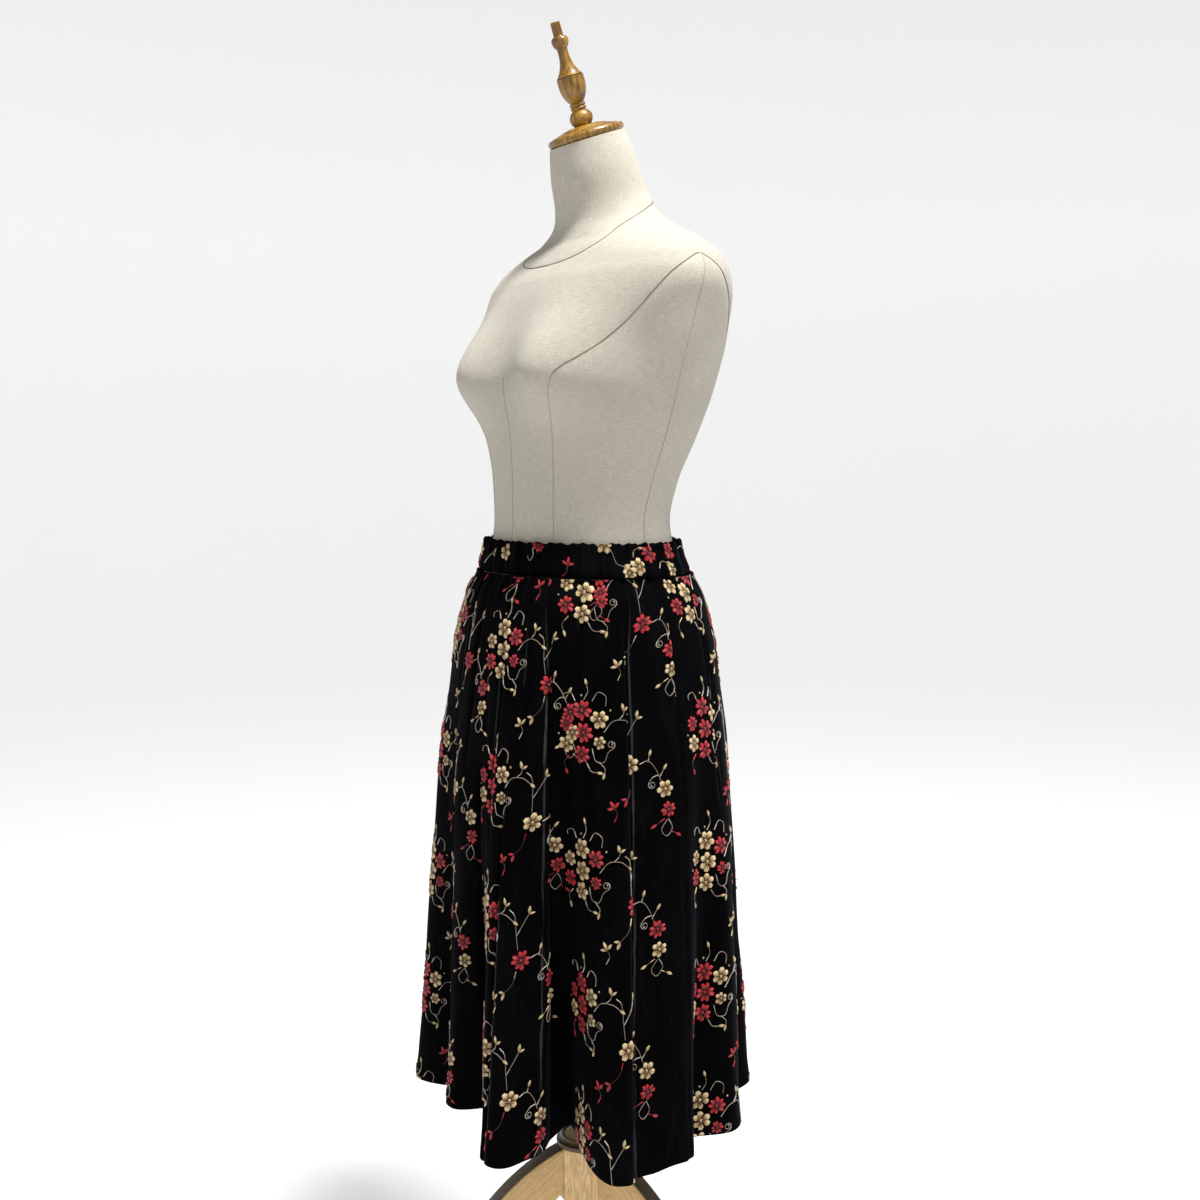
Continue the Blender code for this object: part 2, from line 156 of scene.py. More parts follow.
SWAY = 0.0011  # slow unevenness of the hanging cloth
SEAM_DIP, SEAM_DIP_BREADTH = 0.0020, 0.0022
HEM_ROLL, HEM_HEIGHT = 0.0012, 0.030
SHEEN_SPREAD, DEEPEST_SHEEN = 0.006, 0.010  # painted sheen spreads this far out from a crease's edge, and is full at this depth
CASING_WALL = 0.0022
CASING_ROWS = 22
CASING_EDGE_IN, CASING_FOOT_IN = 0.0009, 0.0012  # how far its top and lower edges draw in
CASING_GIRTH_RADIUS = 0.13

# Fine gathers under the casing: waves round the waist, how unevenly each is spaced, and its share
GATHERS = ((47, 2.2, 0.45), (31, 1.6, 0.35), (83, 3.0, 0.20))
GATHER_FADE = 0.030

# Sections of the form, up from its waist, as in the frame
FORM_COLUMNS = ("height", "half_width", "front", "back", "shift", "lean", "square")
FORM_SECTIONS = in_mm(
    (-295, 138, 95, 102, 2, 0, 2),
    (-270, 152, 105, 113, 2, 0, 2),
    (-200, 162, 110, 121, 2, 0, 2),
    (-120, 156, 106, 114, 0, 0, 2),
    (-50, 137, 99, 101, -2, 0, 2),
    (-15, 121, 91, 92, -3, 0, 2),
    (10, 117.5, 89, 89, -3, 0, 2),
    (50, 123, 91, 93, -1, 0, 2.1),
    (100, 138, 96, 104, 2, 0, 2.4),
    (150, 153, 100, 113, 4, 0, 2.7),
    (200, 164, 96, 119, 7, 0, 2.8),
    (240, 174, 88, 117, 10, 0, 2.8),
    (267, 179, 80, 108, 14, 0, 2.7),
    (286, 173, 72, 97, 18, 2, 2.5),
    (300, 156, 67, 85, 21, 5, 2.3),
    (313, 128, 63, 73, 24, 9, 2.1),
    (327, 91, 58, 63, 27, 13, 2),
    (345, 64, 54, 56, 27, 17, 2),
    (366, 54, 51, 51, 23, 19, 2),
    (396, 50, 48, 48, 14, 19.5, 2),
    (427, 43, 43, 43, 6, 19.5, 2),
    plain=(5, 6),
)
BUST_HEIGHT, BUST_APART, BUST_OUT = 0.168, 0.082, 0.040
BUST_SPREAD, BUST_ABOVE, BUST_BELOW = 0.054, 0.055, 0.044
STUB_HEIGHT, STUB_OUT, STUB_SPREAD, STUB_TALL = 0.250, 0.011, 0.046, 0.040

SEAM_SINK, SEAM_SINK_BREADTH, THREAD_SUNK = 0.6 * MM, 3.2 * MM, 0.4 * MM

# The form's seams, each a line of (height above the waist, turn)
PRINCESS_LOWER = in_mm(
    (-290, -57), (-100, -58), (-10, -58), (33, -58.5), (75, -60), (107, -59.5), (137, -55),
    (156, -51.8), (164, -50.5),
    plain=(1,),
)
PRINCESS_UPPER = in_mm(
    (156, -51.8), (164, -50.5), (171, -48.3), (179, -44.5), (194, -38), (214, -31.5), (231, -27),
    (247, -23), (263, -17.5), (275, -9), (285, 2),
    plain=(1,),
)
PRINCESS_BACK = in_mm(
    (-290, 57), (-100, 58), (0, 57), (80, 55), (140, 52), (190, 45), (235, 31), (268, 16),
    (285, 3),
    plain=(1,),
)
CENTRE_FRONT = in_mm((-290, -90), (-100, -90), (20, -90), (80, -90), (130, -90), (165, -90), plain=(1,))
CENTRE_BACK = in_mm(
    (-290, 90), (-100, 90), (20, 90), (120, 90), (200, 90), (270, 90), (320, 90), (349, 90),
    plain=(1,),
)
SIDE_SEAM = in_mm(
    (-290, 0), (-100, 1), (0, 2), (50, 4), (100, 4), (160, 3), (202, 3), (246, 2), (283, 3),
    plain=(1,),
)
NECKLINE = in_mm(
    (288.5, -90), (289.5, -82), (294, -74), (301, -67), (309, -60), (316.5, -52), (324, -42),
    (331, -30), (336, -15), (340, 0), (343.5, 16), (346, 31), (349, 60), (350, 90),
    plain=(1,),
)

# ---------------------------------------------------------------- turned and sawn wood, as in the frame

CAP_HEIGHT = 0.0145
CAP_ROWS = in_mm(
    # radius, height, bow, steps
    (40.8, 0, 0, 8),
    (41, 8, 2.2, 14),
    (37.8, 8.5, -0.3, 4),
    (37.4, 8.9, 0, 1),
    (32.2, 10.3, 0.3, 5),
    (31.8, 9.9, 0, 2),
    (31.3, 10.5, 0, 2),
    (26.5, 11.8, 0.3, 5),
    (26, 11.4, 0, 2),
    (25.5, 12.4, 0, 2),
    (19, 13.9, 0.3, 5),
    (18, 14.5, 0, 2),
    (0, 14.5, 0, 6),
    plain=(3,),
)
FINIAL_ROWS = in_mm(
    (9.25, 0, 0, 3),
    (7.59, 16.65, 4.63, 18),  # bulb
    (7.7, 17.2, 0, 2),
    (7.7, 20.35, 1.4, 9),  # lower ring
    (7.7, 20.8, -0.2, 3),
    (7.7, 24.05, 1.4, 9),  # upper ring
    (7.59, 24.4, 0, 2),
    (14.99, 49.03, 2.59, 20),  # urn
    (15.17, 51.8, 0.2, 4),
    (13.5, 52.1, 0, 3),
    (13.4, 54.3, 1.1, 7),  # bead
    (12.77, 54.76, 0, 2),
    (5.92, 82.33, -2.59, 20),  # long neck
    (9.25, 88.6, 0.7, 8),  # ball
    (9.35, 89, 0, 2),
    (5.55, 95.28, 1.6, 9),
    (5.4, 95.6, 0, 1),
    (5.27, 109.34, 0, 6),  # peg
    (4.44, 110.08, 0.2, 4),
    (0, 110.08, 0, 3),
    plain=(3,),
)
HUB_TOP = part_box("hub_collar")[1].z
COLLAR_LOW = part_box("hub_collar")[0].z
INSET_RADIUS = 0.0220
COLLAR_START = (0.0223, HUB_TOP - 0.0060)
COLLAR_ROWS = (
    (0.0223, HUB_TOP - 0.0010, 0.0, 4),
    (0.0250, HUB_TOP, 0.0004, 5),
    (0.0260, HUB_TOP, 0.0, 2),
    (0.0318, HUB_TOP - 0.0060, 0.0014, 12),
    (0.0320, COLLAR_LOW + 0.0015, 0.0, 4),
    (0.0312, COLLAR_LOW, 0.0002, 3),
    (0.0223, COLLAR_LOW, 0.0, 4),
)
INSET_START = (0.0, HUB_TOP - 0.0057)
INSET_ROWS = (
    (INSET_RADIUS, HUB_TOP - 0.0057, 0.0, 6),
    (INSET_RADIUS, HUB_TOP - 0.0006, 0.0, 3),
    (INSET_RADIUS - 0.0006, HUB_TOP, 0.0001, 3),
    (0.0, HUB_TOP, 0.0, 8),
)
LEG_TURNS = {"leg_front": 259.0, "leg_left": 19.0, "leg_right": 139.0}
LEG_TOP_EDGE = in_mm((0, 279.5), (80, 253), (160, 170), (182, 0))
LEG_LOWER_EDGE = in_mm((0, 228), (48, 186), (116, 122), (138, 0))
LEG_THICKNESS, LEG_STEPS, ARRIS = 0.022, 72, 0.0017
# The last finish is lighter oak on the arrises: a painted highlight along the plank's edges
FACE, EDGE, ARRIS_HIGHLIGHT = 0, 1, 2  # the leg's finishes
TURNED_SIDES = 128
LEG_START = 0.02945 + GAP

# ---------------------------------------------------------------- the sewn sprays

# Columns of sprays round the skirt: each one's turn, and the drop of its first spray
SPRAY_COLUMNS = in_mm(
    (-162, 20), (-121, 95), (-72, 110), (-34, 46),
    (12, 50), (56, 100), (102, 30), (147, 85),
    plain=(0,),
)
SPRAY_PITCH = 0.142
# Flowers of a spray, in millimetres across and up from its middle, with size and whether each takes the
# spray's other colour
FLOWERS = (
    # across, up, size, other
    (-17, 8, 17, 0), (1, 23, 22, 0), (3, 0, 22, 0), (1, -22, 20, 0), (20, 15, 20, 1), (21, -9, 14, 1),
    (-17, -13, 19, 1), (66, -32, 21, 1), (105, -58, 19, 1), (109, -79, 17, 0),
)
# Stems, as points across and up, and what each ends in. The pale ones are sewn in vine thread, and the
# others in the spray's own colour
STEMS = (
    # points, end, pale
    (((-7, 32), (-12, 40), (-20, 38), (-20, 33)), "none", 1),
    (((3, 34), (7, 42), (6, 48)), "bud", 1),
    (((12, 33), (18, 42), (26, 38), (26, 28)), "none", 1),
    (((13, -15), (17, -27), (26, -28), (30, -18), (35, -14)), "curl", 1),
    (((21, -28), (27, -34), (27, -38)), "bud", 1),
    (((7, -30), (12, -38), (18, -39)), "bud", 1),
    (((-14, -24), (-21, -32), (-20, -38)), "bud", 0),
    (((25, 2), (34, 13), (46, 14), (54, 9)), "bud", 1),
    (((40, 15), (44, 19), (45, 23)), "pair", 1),
    (((50, 20), (56, 14), (59, -4), (62, -21)), "none", 1),
    (((60, -6), (66, 6), (71, 15)), "pair", 1),
    (((76, -31), (85, -28), (94, -37), (100, -49)), "none", 1),
    (((85, -29), (86, -24)), "bud", 1),
    (((97, -43), (91, -45), (87, -50)), "curl", 1),
    (((98, -46), (102, -39)), "bud", 1),
    (((62, -43), (59, -56), (51, -65)), "pair", 0),
    (((109, -88), (114, -98), (108, -106), (102, -99), (108, -89)), "none", 1),
    (((112, -101), (118, -104)), "bud", 0),
    (((105, -88), (97, -93)), "bud", 0),
    (((38, -88), (41, -80), (38, -74)), "leaves", 0),
)
KNOTS = ((0, 38), (-26, -3), (31, 24))
# Flowers cut by the casing's edges or lying on it: turn, drop and size in millimetres, and thread
CASING_FLOWERS = (
    (-87, 11, 20, "cream"), (-65, 3, 14, "red"), (-28, 0, 20, "cream"), (-10, 24, 19, "cream"),
    (-16, 30, 16, "cream"), (-1, 11, 20, "red"), (17, 9, 20, "red"), (14, 28, 16, "cream"),
    (45, 30, 19, "red"), (68, 5, 20, "cream"), (98, 22, 21, "red"), (107, 12, 17, "cream"),
    (131, 4, 18, "cream"), (152, 28, 20, "red"), (172, 12, 20, "cream"), (-168, 30, 16, "red"),
    (-146, 6, 20, "cream"), (-126, 22, 20, "red"), (-118, 12, 17, "cream"),
)
# Its stems: turn, drop, points, end and thread
CASING_STEMS = (
    (-69, 12, ((3, 6), (4, -2), (-2, -7), (-6, -2)), "none", "vine"),
    (-49, 22, ((-7, -12), (-1, -7), (1, 0)), "leaves", "red"),
    (-22, 11, ((-9, 8), (-4, 2), (-1, -9), (6, -12)), "pair", "vine"),
    (-12, 10, ((0, -4), (2, 3), (8, 5)), "bud", "vine"),
    (7, 20, ((-5, -6), (0, 1), (6, -1)), "pair", "vine"),
    (38, 12, ((-10, 4), (0, 6), (8, 0), (9, -6)), "curl", "vine"),
    (84, 20, ((-12, -6), (-2, 2), (8, 1)), "pair", "vine"),
    (119, 18, ((-6, 8), (1, 0), (0, -8)), "curl", "red"),
    (143, 16, ((-6, -8), (0, 0), (4, 8)), "leaves", "red"),
    (-158, 14, ((-8, 6), (0, 2), (7, -6)), "pair", "vine"),
    (-136, 22, ((8, 8), (0, 0), (-2, -8)), "curl", "vine"),
    (-103, 20, ((-8, -6), (0, 3), (8, 6)), "pair", "vine"),
)
PETAL_COUNTS = {"red": 8, "cream": 6}
FLOWER_FILL = 0.47  # a flower's radius as a share of the size that its table gives
SUNK = 0.1 * MM  # how deep the sewn work's rims lie in the pile
PETAL_RISE, FLOWER_KNOT_RISE, BUD_RISE, STEM_RISE = 1.3 * MM, 2.1 * MM, 1.0 * MM, 0.85 * MM
KNOT_RADIUS, KNOT_RISE = 1.1 * MM, 1.1 * MM
STEM_BREADTH, TENDRIL_BREADTH, STEM_STEP = 0.7 * MM, 0.8 * MM, 2.6 * MM
MOST_TONE = 0.14  # how much darker than its thread a flower may be
SPRAY_REACH = 0.13
SMALLEST_FACE = 2e-9
SEED = 11


def colour_setting(name, description, *default):
    return FloatVectorProperty(name=name, description=description, default=default, subtype="COLOR")


def length_setting(name, description, default):
    return FloatProperty(name=name, description=description, default=default, unit="LENGTH")


def angle_setting(name, description, degrees):
    default = math.radians(degrees)
    return FloatProperty(name=name, description=description, default=default, subtype="ANGLE")


class SkirtSettings(PropertyGroup):
    """Sizes and colours of the velvet and its sewn sprays."""

    columns: IntProperty(name="Columns", description="Mesh columns across each panel", default=300, min=60)
    rows: IntProperty(name="Rows", description="Mesh rows down each panel", default=152, min=20)
    casing_columns: IntProperty(name="Casing Columns", description="Mesh columns round it", default=720)
    wall: length_setting("Velvet", "Thickness of the velvet", 0.0014)
    gather_depth: length_setting("Gathers", "Depth of the fine gathers at the casing", 0.0045)
    velvet: colour_setting("Velvet", "Colour of the pile", 0.0010, 0.0010, 0.0013)
    velvet_lit: colour_setting("Lit Velvet", "Brushed pile", 0.0024, 0.0024, 0.0030)
    # A light line along each crease's edge: painted sheen
    velvet_crease_sheen: colour_setting("Painted Crease Sheen", "Painted sheen along a crease's edge", 0.040, 0.040, 0.041)
    red: colour_setting("Red Thread", "Petals", 0.60, 0.016, 0.028)
    cream: colour_setting("Cream Thread", "Petals", 0.78, 0.61, 0.33)
    vine: colour_setting("Vine Thread", "Stems", 0.52, 0.48, 0.40)


class FormSettings(PropertyGroup):
    """Sizes and colours of the dress form."""

    rings: IntProperty(name="Rings", description="Mesh rings up the body", default=180, min=40)
    points: IntProperty(name="Points", description="Mesh points round the body", default=200, min=40)
    linen: colour_setting("Linen", "Body cover", 0.55, 0.512, 0.425)
    thread_pitch: length_setting("Weave", "Between threads", 0.0009)
    seam_radius: length_setting("Seam", "Half a seam's breadth", 0.0005)


class WoodSettings(PropertyGroup):
    """Colours of the turned and sawn wood."""

    honey: colour_setting("Honey", "Varnished wood", 0.38, 0.20, 0.026)
    amber: colour_setting("Amber", "Its dark grain", 0.115, 0.050, 0.005)
    oak: colour_setting("Oak", "Broad faces", 0.70, 0.44, 0.16)
    stain: colour_setting("Stain", "Stained edges", 0.10, 0.058, 0.022)


class StageSettings(PropertyGroup):
    """Camera, light and floor."""

    azimuth: angle_setting("Azimuth", "Camera's turn", 56)
    pitch: angle_setting("Pitch", "Camera's tilt down", 5.39)
    distance: length_setting("Distance", "Camera to the rod's axis", 1.6)
    height: length_setting("Height", "Camera over the floor", 1.069)
    beside: length_setting("Beside", "Camera to the right", 0.0192)
    lens: FloatProperty(name="Lens", description="Focal length in millimetres", default=42.57)
    key: FloatProperty(name="Key Light", description="Strength", default=222.0, unit="POWER")
    key_size: length_setting("Key Size", "Breadth of the key light", 0.5)
    sky: FloatProperty(name="Sky", description="Strength of the soft light from above", default=0.22)
    glow: FloatProperty(name="Glow", description="Light that the backdrop gives of its own", default=0.45)
    floor: colour_setting("Floor", "Floor colour", 0.62, 0.62, 0.62)


# ---------------------------------------------------------------- shader helpers


def arithmetic(operation, swapped=False):
    """A method that joins two values with a Math node."""

    def method(self, other=0.0):
        first, second = (other, self) if swapped else (self, other)
        return self.finish.node("ShaderNodeMath", {"operation": operation}, {0: first, 1: second})

    return method


class Value:
    """A node's output that takes part in arithmetic."""

    def __init__(self, finish, socket):
        self.finish = finish
        self.socket = socket

    __add__ = __radd__ = arithmetic("ADD")
    __sub__ = arithmetic("SUBTRACT")
    __rsub__ = arithmetic("SUBTRACT", swapped=True)
    __mul__ = __rmul__ = arithmetic("MULTIPLY")
    sine = arithmetic("SINE")
    size = arithmetic("ABSOLUTE")


class Finish:
    """A material with one Principled shader, whose constant values are set on its own sockets."""

    def __init__(self, name, **constants):
        self.material = bpy.data.materials.new(name)
        self.material.use_nodes = True
        self.tree = self.material.node_tree
        self.shader = self.tree.nodes["Principled BSDF"]
        for key, value in constants.items():
            self.set_input(self.shader.inputs[key.replace("_", " ").title().replace("Ior", "IOR")], value)

    def set_input(self, socket, value):
        if isinstance(value, Value):
            self.tree.links.new(value.socket, socket)
        elif socket.type == "RGBA":
            socket.default_value = (*value[:3], 1.0)
        else:
            socket.default_value = value

    def node(self, kind, settings, inputs, output=0):
        """A node of a type, with its settings set first and then its sockets' values or links."""
        made = self.tree.nodes.new(kind)
        for key, value in settings.items():
            setattr(made, key, value)
        for key, value in inputs.items():
            self.set_input(made.inputs[key], value)
        return Value(self, made.outputs[output])

    def attribute(self, name):
        """A vector that the mesh carries."""
        return self.node("ShaderNodeAttribute", {"attribute_name": name}, {}, "Vector")

    def place(self):
        """Where a point lies in its own piece."""
        return self.node("ShaderNodeTexCoord", {}, {}, "Object")

    def split(self, vector):
        return [self.node("ShaderNodeSeparateXYZ", {}, {0: vector}, axis) for axis in range(3)]

    def stretch(self, vector, factors):
        return self.node("ShaderNodeVectorMath", {"operation": "MULTIPLY"}, {0: vector, 1: factors})

    def noise(self, vector, scale, detail=2.0, roughness=0.5, distortion=0.0):
        values = {"Vector": vector, "Scale": scale, "Detail": detail}
        values |= {"Roughness": roughness, "Distortion": distortion}
        return self.node("ShaderNodeTexNoise", {}, values, "Fac")

    def band(self, value, low, high):
        """0 below low, 1 above high, and smooth between them."""
        settings = {"interpolation_type": "SMOOTHSTEP", "clamp": True}
        return self.node("ShaderNodeMapRange", settings, {"Value": value, "From Min": low, "From Max": high})

    def mix(self, share, first, second):
        return self.node("ShaderNodeMix", {"data_type": "RGBA"}, {0: share, 6: first, 7: second}, 2)

    def bump(self, height, distance, strength):
        return self.node("ShaderNodeBump", {}, {"Height": height, "Distance": distance, "Strength": strength})

    def wear(self, **varying):
        """Links what changes over the surface to the shader, and gives the material."""
        for key, value in varying.items():
            self.set_input(self.shader.inputs[key.replace("_", " ").title()], value)
        return self.material


# ---------------------------------------------------------------- shape helpers


def column(rows, names, wanted):
    return np.array([row[names.index(wanted)] for row in rows])


def smooth_through(xs, ys):
    """A function that runs smoothly through the points and never overshoots them."""
    steps = np.diff(xs)
    slopes = np.diff(ys) / steps
    product, total = slopes[:-1] * slopes[1:], slopes[:-1] + slopes[1:]
    turning = product <= 0
    mean = np.where(turning, 0.0, 2 * product / np.where(turning, 1.0, total))
    tangents = np.concatenate([[slopes[0]], mean, [slopes[-1]]])

    def value(x):
        i = np.clip(np.searchsorted(xs, x) - 1, 0, len(steps) - 1)
        t = np.clip((x - xs[i]) / steps[i], 0.0, 1.0)
        start = (1 + 2 * t) * (1 - t) ** 2 * ys[i] + t * (1 - t) ** 2 * steps[i] * tangents[i]
        end = t * t * (3 - 2 * t) * ys[i + 1] + t * t * (t - 1) * steps[i] * tangents[i + 1]
        return start + end

    return value


def smooth_curves(rows, names):
    """A smooth curve along the first column for each other column of a table, by name."""
    along = column(rows, names, names[0])
    return {name: smooth_through(along, column(rows, names, name)) for name in names[1:]}


FORM_CURVES = smooth_curves(FORM_SECTIONS, FORM_COLUMNS)
SKIRT_CURVES = smooth_curves(SKIRT_SECTIONS, SKIRT_COLUMNS)


def ease(low, high, x):
    t = np.clip((x - low) / (high - low), 0.0, 1.0)
    return t * t * (3 - 2 * t)


def grid_quads(rows, columns, closed=False, first=0):
    """Quads between the rows of a grid of points, going round each row if it is closed."""
    i = np.arange(columns if closed else columns - 1)
    j = (i + 1) % columns
    down = first + np.arange(rows - 1)[:, None] * columns
    return np.stack([down + i, down + j, down + columns + j, down + columns + i], axis=-1).reshape(-1, 4)


def joined(*grids):
    """Grids of numbers as one grid of vectors."""
    return np.stack(np.broadcast_arrays(*grids), axis=-1)


def ring_turns(sides):
    """Turns round a ring, in radians."""
    return np.arange(sides) * 2 * math.pi / sides


def heading(turn):
    """A flat direction for a turn in radians."""
    return np.array([math.cos(turn), math.sin(turn)])


def unit(vectors):
    return vectors / np.maximum(np.linalg.norm(vectors, axis=-1, keepdims=True), 1e-12)


def grid_normals(points, closed=False):
    """Outward normals of a grid of points whose rows run down and whose columns run with the turns."""
    if closed:
        across = np.roll(points, -1, axis=1) - np.roll(points, 1, axis=1)
    else:
        across = np.gradient(points, axis=1)
    down = np.gradient(points, axis=0)
    return unit(np.cross(down, across))


def linked(name, data):
    """A new object in the scene."""
    made = bpy.data.objects.new(name, data)
    bpy.context.scene.collection.objects.link(made)
    return made


def add_piece(name, points, faces, materials, vectors=None, face_materials=None, angle=None):
    """A smooth-shaded mesh that rides on the frame, with named vectors at its points."""
    mesh = bpy.data.meshes.new(name)
    mesh.from_pydata(np.asarray(points).tolist(), [], [list(face) for face in faces])
    for key, values in (vectors or {}).items():
        layer = mesh.attributes.new(key, "FLOAT_VECTOR", "POINT")
        layer.data.foreach_set("vector", np.asarray(values, np.float32).ravel())
    for finish in materials:
        mesh.materials.append(finish)
    if face_materials is not None:
        mesh.polygons.foreach_set("material_index", np.asarray(face_materials, np.int32))
    mesh.shade_smooth()
    if angle is not None:
        mesh.set_sharp_from_angle(angle=math.radians(angle))
    piece = linked(name, mesh)
    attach(piece, "root")
    return piece


def cloth_shell(outer, wall, closed):
    """Points and quads of a cloth wall inside a grid, with rounded top and bottom edges."""
    rows, columns = outer.shape[:2]
    inner = outer - grid_normals(outer, closed) * wall
    if not closed:
        # The two side edges stay in their plane, so that the panels butt.
        inner[:, (0, -1), 1] = outer[:, (0, -1), 1]
    over = (outer[0] + inner[0]) / 2 + [0, 0, wall * 0.45]
    under = (outer[-1] + inner[-1]) / 2 - [0, 0, wall * 0.45]
    ring = np.concatenate([over[None], outer, under[None], inner[::-1], over[None]])
    quads = grid_quads(rows * 2 + 3, columns, closed)[:, ::-1]
    # The last row is the first one again.
    quads = np.where(quads >= (rows * 2 + 2) * columns, quads - (rows * 2 + 2) * columns, quads)
    points = ring[:-1].reshape(-1, 3)
    if closed:
        return points, quads
    ends = []
    rows_of = np.arange(rows)
    for side, turned in ((0, 1), (columns - 1, -1)):
        out = (1 + rows_of) * columns + side
        into = (2 * rows + 1 - rows_of) * columns + side
        strip = np.stack([out[:-1], out[1:], into[1:], into[:-1]], axis=-1)
        ends.append(strip[:, ::turned])
        for rim, edge in ((side, 0), ((rows + 1) * columns + side, -1)):
            ends.append(np.array([[rim, out[edge], into[edge], into[edge]]])[:, ::turned])
    return points, np.concatenate([quads, *ends])


def shell_values(*grids):
    """Three grids of an outer surface's values as one vector for each point of its cloth_shell."""
    flat = np.stack(np.broadcast_arrays(*grids))
    return np.concatenate([flat[:, :1], flat, flat[:, -1:], flat[:, ::-1]], axis=1).reshape(3, -1).T


def drop_doubled(faces):
    """Faces as lists, with a corner that is named twice running left out."""
    made = []
    for face in faces.tolist():
        corners = [corner for i, corner in enumerate(face) if corner != face[i - 1]]
        if len(corners) > 2:
            made.append(corners)
    return made


def along_rows(points):
    """Length along each row of a grid of points, from its first point."""
    steps = np.linalg.norm(np.diff(points, axis=1), axis=-1)
    return np.concatenate([np.zeros((len(points), 1)), np.cumsum(steps, axis=1)], axis=1)


class Surface:
    """A cloth's fine surface by drop and turn, on which sewn work is laid in flat sizes."""

    def __init__(self, make, drops, turns):
        self.drops = drops
        self.turns = turns
        self.points = make(drops[:, None], turns[None, :])
        self.normals = grid_normals(self.points)
        self.across = along_rows(self.points)

    def lay(self, turn, drop, across, up, lift):
        """3D points for flat offsets from anchors, with what falls past an edge held at that edge."""
        last = len(self.drops) - 1
        row = last * np.clip((drop - up - self.drops[0]) / (self.drops[-1] - self.drops[0]), 0, 1)
        low = np.minimum(row.astype(int), last - 1)
        share = row - low
        place = np.zeros_like(row)
        for index in np.unique(low):
            here = low == index
            for level, weight in ((index, 1 - share[here]), (index + 1, share[here])):
                start = np.interp(turn[here], self.turns, self.across[level])
                reached = np.interp(start + across[here], self.across[level], np.arange(len(self.turns)))
                place[here] += weight * reached
        left = np.minimum(place.astype(int), len(self.turns) - 2)
        side = (place - left)[:, None]
        share = share[:, None]
        made = []
        for table in (self.points, self.normals):
            near = table[low, left] * (1 - side) + table[low, left + 1] * side
            far = table[low + 1, left] * (1 - side) + table[low + 1, left + 1] * side
            made.append(near * (1 - share) + far * share)
        return made[0] + unit(made[1]) * lift[:, None]


# ---------------------------------------------------------------- the velvet


def fold_reach(turns, drops):
    """How far the large folds stand out of the mean cloth line, and how far they lift the hem."""
    marks = []
    for crest_turn, crest, valley_turn, valley, crest_lift, valley_lift, start in FOLDS:
        marks += [(crest_turn, crest, crest_lift, start), (valley_turn, valley, valley_lift, start)]
    marks.append((marks[0][0] + 360.0, *marks[0][1:]))
    degrees = (turns - marks[0][0]) % 360.0 + marks[0][0]
    reach = np.zeros(np.broadcast_shapes(turns.shape, drops.shape))
    lift = np.zeros_like(reach)
    for i, (low, high) in enumerate(zip(marks, marks[1:])):
        share = np.clip((degrees - low[0]) / (high[0] - low[0]), 0, 1)
        crest, valley = (low, high) if i % 2 == 0 else (high, low)
        from_crest = share if i % 2 == 0 else 1 - share
        near_crest = np.cos(from_crest**CREST_BREADTH * math.pi / 2) ** 2
        inside = (degrees >= low[0]) & (degrees <= high[0])
        reaches = [
            mark[1] * np.clip((drops - mark[3]) / (SKIRT_LENGTH - mark[3]), 0, None) ** FOLD_GROWTH
            for mark in (crest, valley)
        ]
        reach = np.where(inside, reaches[1] + (reaches[0] - reaches[1]) * near_crest, reach)
        lift = np.where(inside, valley[2] + (crest[2] - valley[2]) * near_crest, lift)
    return reach, lift


def creases_at(turns, drops, radius):
    """Each crease's offset along the rows, its strength there, and its depth, half-breadth and lap."""
    for turn, drift, start, end, depth, breadth, lap in CREASES:
        centre = turn + drift * drops / SKIRT_LENGTH
        off = np.radians((turns - centre + 180) % 360 - 180) * radius
        grown = ease(start, start + CREASE_FADE, drops) * (1 - ease(end - CREASE_FADE, end, drops))
        yield off, grown, depth, breadth, lap


def crease_shift(turns, drops, radius):
    """How far the creases push the cloth in, and how far they carry it along its row."""
    inward = np.zeros_like(radius)
    sideways = np.zeros_like(radius)
    for off, grown, depth, breadth, lap in creases_at(turns, drops, radius):
        inward += depth * grown * np.exp(-((off / breadth) ** 2))
        lapped = (off + math.copysign(0.8 * breadth, lap)) / (0.95 * breadth)
        sideways += lap * grown * np.exp(-(lapped**2))
    return inward, sideways


def crease_sheen_edges(turns, drops, radius):
    """Signed distance from the nearest crease's edge, and how strong the painted sheen along that edge is,
    from 0 to 1.
    """
    nearest = np.full_like(radius, 1.0)
    painted_sheen = np.zeros_like(radius)
    for off, grown, depth, breadth, lap in creases_at(turns, drops, radius):
        off = off + math.copysign(1.1 * breadth, lap)
        nearer = np.abs(off) < np.abs(nearest)
        nearest = np.where(nearer, off, nearest)
        painted_sheen = np.where(nearer, grown * depth / DEEPEST_SHEEN * np.exp(-((off / SHEEN_SPREAD) ** 2)), painted_sheen)
    return nearest, painted_sheen


